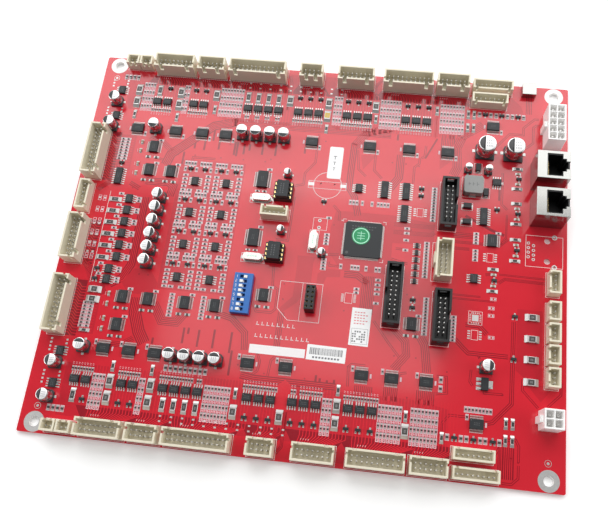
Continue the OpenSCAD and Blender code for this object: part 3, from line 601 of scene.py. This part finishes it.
def pads_beside(shape, chip, count, pitch, width, reach, along_x, m=0):
    """Solder pads under a row of leads on both sides of a chip."""
    x, y, w, d = chip[:4]
    for s in (-1, 1):
        for t in spread(count, pitch):
            if along_x:
                shape.flat(x + t, y + s * (d / 2 + reach * 0.7), width, reach, Z_PAD, m)
            else:
                shape.flat(x + s * (w / 2 + reach * 0.7), y + t, reach, width, Z_PAD, m)


leads = Shape()
pads = Shape()
ink = Shape()
for chip in solids("buffer_bodies"):
    lying = chip[2] > chip[3]
    count = 14 if max(chip[2:4]) > 8 else 10
    side_leads(leads, chip, count, 0.65, 0.3, 1.3, 0.8, lying)
    pads_beside(pads, chip, count, 0.65, 0.42, 1.5, lying)
for chip in solids("driver_bodies"):
    pads_beside(pads, chip, 4, 1.27, 0.62, 1.5, chip[2] > chip[3])
for chip in solids("logic_bodies"):
    pads_beside(pads, chip, 8, 1.27, 0.62, 1.5, False)
for chip in solids("small_transistor_bodies"):
    x, y, w, d = chip[:4]
    three = w > d
    if three:
        tail = -1 if y > 0 else 1
        lead(leads, x, y + tail * d / 2, (0, tail), 0.45, 0.7, 0.5)
        for s in (-1, 1):
            lead(leads, x + s * 0.95, y - tail * d / 2, (0, -tail), 0.45, 0.7, 0.5)
        pads.flat(x, y + tail * (d / 2 + 0.6), 0.9, 1.0, Z_PAD)
        for s in (-1, 1):
            pads.flat(x + s * 0.95, y - tail * (d / 2 + 0.6), 0.9, 1.0, Z_PAD)
    else:
        side_leads(leads, chip, 3, 0.95, 0.4, 0.7, 0.5, False)
        pads_beside(pads, chip, 3, 0.95, 0.6, 1.0, False)


# --- Chip parts ------------------------------------------------------------------------
YELLOW_FUSE = (0.4, 81.9)


def chip_parts():
    """Fuses, power resistors and larger chips: glazed bodies between soldered terminals."""
    bodies, ends = Shape(), Shape()
    terminals = solids("chip_part_terminals")
    for x, y, w, d, z0, z1 in solids("chip_part_bodies"):
        nearest = min(terminals, key=lambda t: math.hypot(t[0] - x, t[1] - y))
        lying = abs(nearest[0] - x) > abs(nearest[1] - y)
        length, width = (w, d) if lying else (d, w)
        turn = 0 if lying else 90
        fuse = width > 3
        bodies.box(x, y, length, width, z0 + 0.02, z1 - 0.08, 0, turn, 0.05)
        glaze = 4 if math.hypot(x - YELLOW_FUSE[0], y - YELLOW_FUSE[1]) < 3 else 1 if fuse else 2
        bodies.box(x, y, length * 0.96, width * 0.86, z1 - 0.08, z1, glaze, turn, 0.03)
        if width > 2:
            for t in (-0.5, 0, 0.5):
                bodies.flat(x + (t if lying else 0), y + (0 if lying else t),
                            0.14, width * 0.3, z1 + 0.004, 3, turn)
        reach = 1.35 if fuse else 1.0
        for s in (-1, 1):
            u = s * (length / 2 + 0.35)
            ends.box(x + (u if lying else 0), y + (0 if lying else u), 0.7, width, z0 + 0.02, z1, 0,
                     turn, 0.08)
            v = s * (length / 2 + 0.7 + reach / 2)
            fx, fy = (x + v, y) if lying else (x, y + v)
            far_x, far_y = (x + v + s * reach / 2, y) if lying else (x, y + v + s * reach / 2)
            near_x, near_y = (x + v - s * reach / 2, y) if lying else (x, y + v - s * reach / 2)
            side = width / 2 + 0.15
            corners = []
            for px, py, z in ((near_x, near_y, z0 + 0.75 * (z1 - z0)), (far_x, far_y, z0 + 0.06)):
                for q in (-side, side):
                    corners.append((px + (0 if lying else q), py + (q if lying else 0), z))
            a, b, c, e = corners
            ends.face([a, c, e, b], 0)
            ends.face([a, b, (b[0], b[1], z0), (a[0], a[1], z0)], 0)
            pads.flat(fx, fy, reach + 0.2, width + 0.3, Z_PAD, 0, turn)
    bodies.make("chip_part_glaze", [PAPER, FUSE_TOP, CERAMIC_BLACK, CAN_GREY, FUSE_GOLD],
                "chip_ceramic", replaces=["chip_part_bodies"])
    ends.make("chip_part_ends", [SOLDER], "chip_terminals", replaces=["chip_part_terminals"])


chip_parts()

small_bodies = Shape()
small_ends = Shape()


def small_chip(x, y, turn=90, size=0, kind=0, ringed=True):
    """One small resistor (kind 0) or capacitor (kind 1) with pads and its printed ring."""
    length, width, height = ((1.6, 0.8, 0.45), (2.0, 1.25, 0.6), (2.0, 1.25, 0.9))[size]
    a = math.radians(turn)
    ca, sa = math.cos(a), math.sin(a)
    end = length * 0.2
    small_bodies.box(x, y, length - 2 * end, width, TOP + 0.04, TOP + height, kind, turn, 0.04)
    for s in (-1, 1):
        u = s * (length - end) / 2
        small_ends.box(x + u * ca, y + u * sa, end, width, TOP + 0.04, TOP + height + 0.01, 0,
                       turn, 0.05)
        v = s * (length / 2 + 0.12)
        pads.flat(x + v * ca, y + v * sa, 0.75, width + 0.15, Z_PAD, 0, turn)
    if ringed:
        ink.outline(x, y, length + 1.2, width + 0.6, Z_INK, 0, 0.24, turn)


def block(xs, ys, turn=90, size=0, kind=0):
    for x in xs:
        for y in ys:
            small_chip(x, y, turn, size, kind)


def run(start, n, pitch):
    return [start + i * pitch for i in range(n)]


def ink_tag(x, y, length, turn=0, strokes=3):
    """A short printed mark beside a part: a few strokes that read as nothing."""
    a = math.radians(turn)
    for t in spread(strokes, length / strokes):
        ink.flat(x + t * math.cos(a), y + t * math.sin(a), 0.16, 0.75, Z_INK, 0, turn)
        ink.flat(x + (t + 0.2) * math.cos(a) - 0.3 * math.sin(a),
                 y + (t + 0.2) * math.sin(a) + 0.3 * math.cos(a), 0.35, 0.14, Z_INK, 0, turn)


# Filter arrays behind the edge connectors: first column, columns; the same four rows each
FAR_ROWS = (94.0, 89.0, 84.6, 79.8)
NEAR_ROWS = (-79.5, -83.9, -88.5, -93.1)
COLUMN = 1.74
FAR_ARRAYS = ((-109.3, 4), (-84.7, 2), (-62.8, 8), (4.1, 3), (31.0, 7), (65.3, 8))
NEAR_ARRAYS = ((-102.2, 4), (-77.5, 2), (-43.5, 8), (17.0, 3), (45.0, 7), (61.2, 8))
for rows, arrays in ((FAR_ROWS, FAR_ARRAYS), (NEAR_ROWS, NEAR_ARRAYS)):
    for first, n in arrays:
        block(run(first, n, COLUMN), rows, kind=0)
        for x in run(first, n, COLUMN):
            for y in rows:
                ink.outline(x, y - 2.35, 1.1, 1.6, Z_INK, 0, 0.3)
                ink.flat(x, y - 2.35, 0.5, 0.3, Z_INK, 0)

# Series resistors between the drivers and the middle of the board
drivers = solids("driver_bodies")
for x, y, w, d, z0, z1 in drivers:
    if w > d and abs(y) > 60:
        s = 1 if y > 0 else -1
        few = -50 < x < -25 or abs(x - 1.1) < 1
        for t in spread(2 if few else 4, 1.5):
            small_chip(x + t, y - s * 5.3, 90, ringed=False)
            ink_tag(x + t, y - s * 8.0, 1.4, turn=90, strokes=2)
            ink.flat(x + t + 0.75, y - s * 5.3, 0.14, 2.6, Z_INK)

# Long double columns beside the left-edge connectors
block((-115.5, -112.5), run(57.2, 8, -1.8), turn=0)
block((-115.5, -112.3), run(-41.4, 8, -1.8), turn=0)
# Single columns and rows round the headers
block((62.4,), run(9.6, 12, -1.72), turn=0)
block((64.5,), run(41.9, 12, -1.72), turn=0)
block((64.2,), run(-21.3, 12, -1.72), turn=0)
block((78.8,), run(-29.6, 8, -1.75), turn=0)
block((88.2,), run(17.6, 4, -1.75) + run(7.9, 4, -1.75), turn=0)
block(run(87.3, 8, 1.74), (-75.9,))
block((8.4,), run(9.4, 4, -1.75) + run(-4.9, 4, -1.75) + [19.2], turn=0)
block((-122.2, -119.8, -117.4, -115.0), (98.2,), size=1)
block((-122.2, -119.8, -117.4, -115.0), (-97.7,), size=1)
block((19.1, 20.9, 22.7, 25.7, 31.0, 34.4, 36.2, 38.0, 39.8), (29.6,))
block((17.8, 23.7, 25.4, 27.1, 31.3, 36.6, 38.4), (-7.9,))
block((38.2,), (-13.6, -16.3, -18.8, -21.3, -26.4), turn=0)
block((51.2,), (17.0, 14.3, 10.3, 4.6), turn=0)
block((27.4,), (-19.6, -21.6), turn=0)
block((74.3,), (-62.7, -67.2), turn=90, size=1)

# Capacitors in tan ceramic beside the upright buffers
TAN_X = -104.0
for y in (56.0, 50.5, 42.2, 36.4, -35.3, -40.9, -48.9, -54.6):
    small_chip(TAN_X, y, 90, 2, 1, ringed=False)
    ink.flat(TAN_X - 1.9, y, 0.18, 2.0, Z_INK)
# Pairs of capacitors at the foot of each upright buffer
for x, y, w, d, z0, z1 in solids("buffer_bodies"):
    if d > w and d < 8:
        if x < 90:
            for t in (-2.4, 2.4):
                small_chip(x + t, y - 6.3, 0, 1, 0, ringed=False)
        small_chip(x + 3.3, y + 4.6, 0)
    elif d > w:
        small_chip(x + 3.2, y + 6.6, 0)
        for t in (-2, 2):
            small_chip(x + t, y - 7, 0, ringed=False)
    else:
        s = 1 if y > 0 else -1
        small_chip(x + s * 4.7, y - s * 3.0, 90)
        ink.flat(x - s * 4.7, y, 0.9, 2.2, Z_INK)

# Sixteen alike sense cells, eight of them with an amplifier: resistors all round
for x, y, w, d, z0, z1 in drivers:
    if d > w and -72 < x < -48:
        for t in (-7.1, -5.35, -3.6, -1.85, 1.75, 3.5, 5.25, 7.0):
            small_chip(x + t, y + 11.1, 90)
        for t in (-6.1, 6.9):
            for u in (3.7, 1.4, -0.9, -3.2, -5.4):
                small_chip(x + t, y + u, 0)
        for t in (-2.6, 3.0):
            small_chip(x + t, y - 5.4, 0)
        for t in (-7, -0.6, 7.6):
            small_chip(x + t, y + 7.5, 90)

# Sense resistors beside the six relay drivers, with their printed tags
for x, y, w, d, z0, z1 in drivers:
    if d > w and x < -100 and abs(y) < 30:
        for u in (-0.8, 0.9):
            small_chip(x + 5.4, y + u, 0)
        small_chip(x - 5.2, y + 2.9, 0)
        if y > -17:
            for s in (-1, 1):
                for u in (-1.5, 1.5):
                    ink.outline(-121.2 + (1 + s) * 1.4, y - 0.6 + u * 0.6, 1.6, 1.2, Z_INK, 0, 0.25)


# Line filters: five parts in a column beside each network line
for cx, cy in ((109.3, 51.8), (109.3, 31.0), (109.3, 10.0), (98.2, -7.8)):
    for s in (-1, 1):
        small_chip(cx, cy + 3.1 * s, 0, 1, 1, ringed=False)
# Small parts between the transistors by the corner connectors
for xs, y in (((86.7, 93.1, 96.1, 102.4, 105.2, 111.4), 90.5),
              ((78.9, 85.7, 88.3, 95.0, 97.4, 104.2), -90.3)):
    block(xs, (y,), size=1)

# --- Electrolytic capacitors ---------------------------------------------------------
def caps(node, name, black_at):
    """Cans with a rolled foot and shoulder; black_at gives the side of the printed segment."""
    shape = Shape()
    for x, y, w, d, z0, z1 in solids(node):
        r = w / 2
        lip = r * 0.07
        shape.lathe(x, y, [(r * 0.93, z0), (r, z0 + lip * 2), (r, z0 + lip * 4),
                           (r * 0.96, z0 + lip * 5.5), (r, z0 + lip * 7), (r, z1 - lip * 2),
                           (r - lip * 0.6, z1 - lip * 0.6), (r - lip * 2, z1)], 48,
                    [0] * 7, caps=(True, False))
        angle = math.radians(black_at(x, y))
        base = r * 1.05
        for t in (-1, 1):
            u = t * (base + 0.14 * r)
            px, py = x + u * math.cos(angle), y + u * math.sin(angle)
            leads.box(px, py, 0.5 + 0.1 * r, 0.34 * r, TOP + 0.05, TOP + 0.3, 0,
                      math.degrees(angle), 0.03)
            pads.flat(px, py, 0.9 + 0.2 * r, 0.7 + 0.2 * r, Z_PAD, 0, math.degrees(angle))
        n = 48
        rim = [(x + (r - lip * 2) * math.cos(2 * math.pi * i / n),
                y + (r - lip * 2) * math.sin(2 * math.pi * i / n), z1) for i in range(n)]
        dark, light = [], []
        chord = r * 0.32
        for p in rim:
            along = (p[0] - x) * math.cos(angle) + (p[1] - y) * math.sin(angle)
            (dark if along > chord else light).append(p)

        def around(points, centre):
            return sorted(points, key=lambda p: math.atan2(p[1] - centre[1], p[0] - centre[0]))

        for points, m in ((dark, 2), (light, 1)):
            cx = sum(p[0] for p in points) / len(points)
            cy = sum(p[1] for p in points) / len(points)
            shape.face(around(points, (cx, cy)), m)
        for row in (-1, 0, 1):
            for col in spread(4, 0.16 * r):
                u, v = -0.25 * r + col * 1.2, row * r * 0.33
                ca, sa = math.cos(angle), math.sin(angle)
                shape.flat(x + u * ca - v * sa, y + u * sa + v * ca, r * 0.1, r * 0.2, z1 + 0.01, 3,
                           math.degrees(angle))
    shape.make(name, [CAN, CAN_TOP, CAN_BLACK, CAN_GREY], "cap_can", replaces=[node], smooth=35)


def medium_black(x, y):
    if y > 60 and x > -110:
        return 270
    if y < -60 and x > -115:
        return 90
    if -100 < x < -60 or x > 0:
        return 0
    return 180


caps("large_cap_cans", "large_cans", lambda x, y: 180)
caps("medium_cap_cans", "medium_cans", medium_black)
caps("small_cap_cans", "small_cans", lambda x, y: 270 if x > 50 else 0)

pattern = [m for m in frame["record"]["mounts"] if m["name"] == "mounting_holes"][0]["dims"]
HOLES = [(sx * pattern["spacing_x_mm"] / 2, sy * pattern["spacing_y_mm"] / 2)
         for sx in (-1, 1) for sy in (-1, 1)]
HOLE_R = pattern["hole_r_mm"]
RING_R = 5.2        # outer radius of the plated ring round each mounting hole
UNDER = -0.02       # height of the flat solder under the board
JOINT_TIP = -0.28   # lowest point of a clipped solder joint


# --- Pads, outlines and empty footprints ---------------------------------------------
def footprints():
    """Solder lands under the larger parts, printed outlines and places left unfitted."""
    for node in ("regulator_leads", "diode_terminals", "inductor_terminals"):
        for x, y, w, d, z0, z1 in solids(node):
            pads.flat(x, y, w + 0.9, d + 0.9, Z_PAD)
    for x, y, w, d, z0, z1 in solids("crystal_cans"):
        lying = w > d
        ink.outline(x, y, w + (2.6 if lying else 1.2), d + (1.2 if lying else 2.6), Z_INK, 1, 0.18)
        for t in (-1, 1):
            pads.flat(x + (t * 5.9 if lying else 0), y + (0 if lying else t * 5.9), 1.6, 1.6, Z_PAD)
    for node in ("far_edge_housings", "near_edge_housings", "left_edge_housings",
                 "one_row_housings", "service_header_housing", "box_header_housings"):
        for x, y, w, d, z0, z1 in solids(node):
            ink.outline(x, y, w + 1.0, d + 1.0, Z_INK, 1, 0.18)
    for x, y, w, d, z0, z1 in solids("diode_bodies") + solids("inductor_core"):
        ink.outline(x, y, w + 1.6, d + 1.6, Z_INK, 1, 0.16)
    for x, y, w, d, z0, z1 in solids("controller_body"):
        for sx in (-1, 1):
            for sy in (-1, 1):
                u, v = x + sx * (w / 2 + 1.6), y + sy * (d / 2 + 1.6)
                ink.line([(u - sx * 1.6, v), (u, v), (u, v - sy * 1.6)], 0.18, Z_INK, 1)
        pads.annulus(x - w / 2 - 2.4, y + d / 2 + 0.6, 0.001, 0.3, Z_PAD)

    # Coin-cell seat
    ink.annulus(5.3, 38.5, 7.75, 8.0, Z_INK, 1, n=48)
    ink.outline(5.3, 38.5, 21, 4.4, Z_INK, 1, 0.18)
    for x in (-3.8, 14.2):
        pads.flat(x, 38.8, 3.4, 2.0, Z_PAD)
    # A two-pin jumper and the long outline under the expansion socket
    for y in (17.2, 13.1):
        pads.annulus(3.6, y, 0.5, 0.95, Z_PAD, n=20)
    ink.outline(4.0, 15.2, 7.6, 7.0, Z_INK, 1, 0.18)
    ink.line([(-13, -19), (9.6, -19), (9.6, -40), (-7, -40), (-13, -34), (-13, -19)], 0.2, Z_INK, 1)
    ink.line([(-1, -19), (-1, -40)], 0.18, Z_INK, 1)
    # A printed panel where the maker's details would stand
    ink.flat(-10, -56.8, 29, 4.6, Z_INK, 1)
    for row, n in ((-50.4, 11), (-44.0, 8)):
        for i in range(n):
            ink.flat(-22 + i * 2.7, row, 1.7, 0.3, Z_INK, 1)
            ink.flat(-22.4 + i * 2.7, row + 0.8, 0.3, 1.8, Z_INK, 1)
    # Unfitted chips
    for x, y, w, d, n, pitch, lying in (
            (23.7, -25.0, 4.5, 5.5, 7, 0.65, False), (89.8, -38.0, 3.9, 5.0, 4, 1.27, False),
            (96.0, 4.6, 3.9, 4.9, 4, 1.27, False), (57.5, 27.0, 3.9, 4.9, 4, 1.27, False)):
        chip = (x, y, w, d)
        pads_beside(pads, chip, n, pitch, pitch * 0.5, 1.4, lying)
        ink.outline(x, y, w - 0.6, d, Z_INK, 1, 0.18)
    pads.flat(89.8, -29.0, 3.4, 3.4, Z_PAD)
    for t in spread(5, 0.9):
        for s in (-1, 1):
            pads.flat(89.8 + t, -29.0 + s * 2.6, 0.4, 0.9, Z_PAD)
            pads.flat(89.8 + s * 2.6, -29.0 + t, 0.9, 0.4, Z_PAD)
    ink.outline(89.8, -29.0, 7.0, 7.0, Z_INK, 1, 0.16)
    for x, y in ((98.6, -18), (97.8, -23), (97.8, -27), (98.3, -38.5), (69.0, -21.5), (100, 48.5)):
        for s in (-1, 1):
            pads.flat(x + s * 0.8, y, 0.8, 0.95, Z_PAD)
        ink.outline(x, y, 3.0, 1.6, Z_INK, 0, 0.2)
    # The third network jack is not fitted
    ink.outline(124.1, 10.7, 19.3, 17.5, Z_INK, 1, 0.2)
    for x, ys in ((115.8, (15.0, 12.4, 9.8, 7.2)), (118.5, (13.7, 11.1, 8.4, 5.9))):
        for y in ys:
            pads.annulus(x, y, 0.45, 0.85, Z_PAD, n=20)
    for y in (19.2, 2.4):
        pads.annulus(129.4, y, 0.8, 1.4, Z_PAD, n=24)
    # Test lands in rows and columns
    for i in range(10):
        for y in (97.0, 100.0):
            pads.flat(-47 + 6 * i, y, 1.2, 0.8, Z_PAD)
    for i in range(12):
        pads.flat(-64.2 + 5.7 * i, -95.8, 1.2, 0.8, Z_PAD)
        pads.flat(-64.2 + 5.7 * i, -98.4, 1.2, 0.8, Z_PAD)
    for x in (-129.0, -120.6):
        for y0, n in ((95.6, 3), (76.8, 3), (-62.4, 4), (-79.4, 4)):
            for k in range(n):
                pads.flat(x, y0 - 2.0 * k, 1.1, 1.0, Z_PAD)
    for x in (-69.7, -52.5):
        for k in range(7):
            small_chip(x, -32.4 - 1.9 * k, 0)
    for k in range(9):
        small_chip(-66 + 2.6 * k, -71.6, 90, 1)
    for y in (19.5, 12.4, 4.0, -2.5, -7.5, -12.7):
        for x in (-121.2, -118.3):
            pads.flat(x, y, 1.3, 1.1, Z_PAD)
    ink.line([(-115.9, 24), (-115.9, -30)], 0.2, Z_INK, 1)
    # Marks at the connectors: a number of strokes beside each
    for x, y, w, d, z0, z1 in solids("near_edge_housings"):
        ink_tag(x - w / 4, y + d / 2 + 2.0, 5.0, strokes=4)
    for x, y, w, d, z0, z1 in solids("far_edge_housings"):
        ink_tag(x - w / 4, y - d / 2 - 2.0, 5.0, strokes=4)
    # Alignment dots
    for x, y in ((-128.0, 97.0), (-128.0, -97.5), (127.6, -97.4)):
        pads.annulus(x, y, 0.001, 0.7, Z_PAD, n=20)
        pads.annulus(x, y, 1.5, 1.7, Z_PAD, n=24)


footprints()


def joints_below():
    """Clipped solder joints under every through-hole pin, and the mounting rings."""
    for node in ("two_row_pins", "one_row_pins", "service_header_pins", "box_header_pins",
                 "power_header_pins", "expansion_socket_contacts", "ic_socket_contacts"):
        for x, y, w, d, z0, z1 in solids(node):
            r = 1.05 if node == "power_header_pins" else 0.72
            pads.lathe(x, y, [(r * 0.3, JOINT_TIP), (r * 0.55, JOINT_TIP * 0.7), (r, UNDER)],
                       10, [0] * 2, caps=(True, False))
    for x, y in HOLES:
        pads.lathe(x, y, [(RING_R, UNDER), (RING_R, UNDER / 2)], 40, [0], caps=(False, False))
        pads.annulus(x, y, HOLE_R, RING_R, UNDER, n=40)


joints_below()


# --- Marks on top of parts ---------------------------------------------------------------
SEGMENTS = {1: "bc", 2: "abged", 3: "abgcd", 4: "fgbc", 5: "afgcd", 6: "afgedc", 7: "abc",
            8: "abcdefg"}


def digit(shape, n, x, y, height, z, m):
    """A plain seven-stroke number, upright along +Y."""
    w, h, t = height * 0.5, height / 2, height * 0.13
    strokes = {"a": (0, h, w, t), "g": (0, 0, w, t), "d": (0, -h, w, t),
               "b": (w / 2, h / 2, t, h), "c": (w / 2, -h / 2, t, h),
               "f": (-w / 2, h / 2, t, h), "e": (-w / 2, -h / 2, t, h)}
    for name in SEGMENTS[n]:
        dx, dy, sw, sd = strokes[name]
        shape.flat(x + dx, y + dy, sw, sd, z, m)


def top_marks():
    """Print on labels, the switch, the sticker and the choke: plain bars and numbers."""
    marks = Shape()
    LIGHT, DARK, RED, FAINT, PALE = 0, 1, 2, 3, 4
    seeded = random.Random(11)
    switch = solids("switch_body")[0]
    for k in range(1, 9):
        x, y, w, d, z0, z1 = solids(f"switch_slider_{k}")[0]
        digit(marks, k, switch[0] - switch[2] / 2 + 1.2, y, 1.35, switch[5] + 0.012, LIGHT)
    for x, y, w, d, z0, z1 in solids("labels"):
        z = z1 + 0.015
        if w > 15:
            at = x - w / 2 + 1.6
            while at < x + w / 2 - 1.8:
                bar = seeded.choice((0.16, 0.16, 0.3, 0.46))
                marks.flat(at + bar / 2, y + 0.8, bar, d * 0.42, z, DARK)
                at += bar + seeded.choice((0.16, 0.3, 0.3))
            for i in range(9):
                marks.flat(x - 6.4 + i * 1.6, y - 2.4, 1.0, 0.9, z, DARK)
        elif w > 9:
            for k in range(5):
                for i in range(5 if k % 2 else 4):
                    marks.flat(x - 3.0 + i * 1.5, y + d / 2 - 2.4 - k * 1.5, 1.0, 0.5, z, RED)
            for k in range(5):
                for i in range(6):
                    if seeded.random() < 0.7:
                        marks.flat(x - 3.4 + i * 1.2, y - 2.6 - k * 1.3, 0.8, 0.8, z, DARK)
            marks.outline(x, y - 5.0, w - 2.2, 8.0, z, DARK, 0.14)
        else:
            for k, size in ((0, 1.9), (1, 1.5), (2, 1.2)):
                marks.flat(x - 0.4, y + 4.0 - k * 3.6, size, 0.35, z, DARK)
                marks.flat(x - 0.4, y + 3.0 - k * 3.6, 0.35, size, z, DARK)
    for x, y, w, d, z0, z1 in solids("controller_sticker"):
        marks.annulus(x, y, w * 0.40, w * 0.45, z1 + 0.01, PALE, n=40)
        for t in (-1, 0, 1):
            marks.flat(x, y + t * w * 0.15, w * 0.42, 0.3, z1 + 0.01, PALE)
        marks.flat(x, y, 0.32, w * 0.5, z1 + 0.01, PALE)
    x, y, w, d, z0, z1 = solids("controller_body")[0]
    for row in range(4):
        for i in range(9 - row):
            marks.flat(x - 6.0 + i * 1.5, y + 7.4 - row * 1.5, 0.9, 0.5, z1 + 0.01, FAINT)
    dimple(marks, x - w / 2 + 2.0, y - d / 2 + 2.0, 0.8, z1 + 0.01, FAINT)
    for x, y, w, d, z0, z1 in solids("inductor_core"):
        for i in range(3):
            marks.flat(x - 2.2 + i * 2.2, y, 1.3, 0.3, z1 + 0.01, DARK)
            marks.flat(x - 2.6 + i * 2.2, y, 0.3, 2.2, z1 + 0.01, DARK)
    for x, y, w, d, z0, z1 in solids("socketed_ics"):
        for row in (-1, 0.4):
            for i in range(5):
                if w > d:
                    marks.flat(x - 2.8 + i * 1.3, y + row, 0.8, 0.5, z1 + 0.01, FAINT)
                else:
                    marks.flat(x + row, y - 2.8 + i * 1.3, 0.5, 0.8, z1 + 0.01, FAINT)
    for node in ("driver_bodies", "logic_bodies", "buffer_bodies"):
        for x, y, w, d, z0, z1 in solids(node):
            for row in (-0.45, 0.45):
                for i in range(4):
                    u, v = i * 0.75 - 1.1, row
                    if d > w:
                        u, v = v, u
                    marks.flat(x + u, y + v, 0.45 if w >= d else 0.3, 0.3 if w >= d else 0.45,
                               z1 + 0.008, FAINT)
    for x, y, w, d, z0, z1 in solids("crystal_cans"):
        for i in range(4):
            u, v = (i * 1.3 - 2, 0) if w > d else (0, i * 1.3 - 2)
            marks.flat(x + u, y + v, 0.7, 0.7, z1 + 0.01, PALE)
    marks.make("printed_tops", [INK_WHITE, LABEL_INK, LABEL_RED, EPOXY_MARK, GREEN_PALE],
               "white_paper")


top_marks()

small_bodies.make("small_chip_bodies", [CERAMIC_BLACK, CERAMIC_BROWN], "chip_ceramic")
small_ends.make("small_chip_ends", [SOLDER], "chip_terminals")
leads.make("fine_leads", [TIN], "tinned_leads")

# --- Mounting rings and their plated holes -----------------------------------------------
for x, y in HOLES:
    pads.annulus(x, y, HOLE_R, RING_R, Z_PAD, n=48)
    tube = HOLE_R - 0.02
    pads.lathe(x, y, [(tube, 0.0), (tube, TOP)], 40, [1], caps=(False, False))
pads.make("solder_pads", [SOLDER, PLATED], "tinned_leads")
ink.make("printed_marks", [INK, INK_WHITE], "white_paper")


# --- Floor, light and camera -------------------------------------------------------------
FLOOR_SIZE = 8.0
FLOOR_GAP = 0.0006
FLOOR_GLOW = 0.16
SKY_STRENGTH = 0.17


def floor():
    mesh = bpy.data.meshes.new("floor")
    s = FLOOR_SIZE / 2
    z = cad_box[0][2] - FLOOR_GAP
    mesh.from_pydata([(-s, -s, z), (s, -s, z), (s, s, z), (-s, s, z)], [], [(0, 1, 2, 3)])
    paper = material("floor_paper", (0.97, 0.97, 0.97), 0.9, vary=0.005)
    glow(paper, (1, 1, 1), FLOOR_GLOW)
    mesh.materials.append(paper)
    obj = bpy.data.objects.new("floor", mesh)
    bpy.context.scene.collection.objects.link(obj)


def area_light(name, place, target, size, power, color=(1, 1, 1)):
    data = bpy.data.lights.new(name, "AREA")
    data.shape = "RECTANGLE"
    data.size, data.size_y = size
    data.energy = power
    data.color = color
    obj = bpy.data.objects.new(name, data)
    obj.location = place
    obj.rotation_euler = (Vector(target) - Vector(place)).to_track_quat("-Z", "Y").to_euler()
    bpy.context.scene.collection.objects.link(obj)


def camera():
    """Above the near edge, looking down and a little forward, with a mild off-centre crop."""
    data = bpy.data.cameras.new("camera")
    data.sensor_fit = "HORIZONTAL"
    data.sensor_width = 36.0
    data.lens = CAMERA_LENS
    data.shift_x, data.shift_y = CAMERA_SHIFT
    data.clip_start, data.clip_end = 0.01, 20
    obj = bpy.data.objects.new("camera", data)
    right = Vector(CAMERA_RIGHT).normalized()
    back = (Vector(CAMERA_PLACE) - Vector(CAMERA_TARGET)).normalized()
    up = back.cross(right).normalized()
    right = up.cross(back).normalized()
    obj.matrix_world = Matrix((
        (right.x, up.x, back.x, CAMERA_PLACE[0]),
        (right.y, up.y, back.y, CAMERA_PLACE[1]),
        (right.z, up.z, back.z, CAMERA_PLACE[2]),
        (0, 0, 0, 1)))
    bpy.context.scene.collection.objects.link(obj)
    bpy.context.scene.camera = obj


CAMERA_PLACE = (0.03934, -0.12222, 0.34778)
CAMERA_TARGET = (0.00994, -0.00912, 0.0016)
CAMERA_RIGHT = (0.9923, 0.1143, -0.0469)
CAMERA_LENS = 40.53
CAMERA_SHIFT = (-0.036, 0.0134)

floor()
area_light("softbox_far", (0.0, 1.15, 1.05), (0, 0, 0), (2.6, 1.3), 28)
area_light("softbox_top", (-0.135, 0.34, 1.15), (-0.135, 0.34, 0), (0.63, 0.48), 1.6)
area_light("softbox_left", (-1.15, 0.0, 0.75), (0, 0, 0), (1.0, 0.8), 6)
area_light("softbox_right", (1.15, 0.0, 0.75), (0, 0, 0), (1.0, 0.8), 6)

world = bpy.data.worlds.new("studio")
bpy.context.scene.world = world
world.use_nodes = True
world.node_tree.nodes["Background"].inputs["Color"].default_value = (1, 1, 1, 1)
world.node_tree.nodes["Background"].inputs["Strength"].default_value = SKY_STRENGTH
bpy.context.scene.view_settings.view_transform = "Standard"
camera()
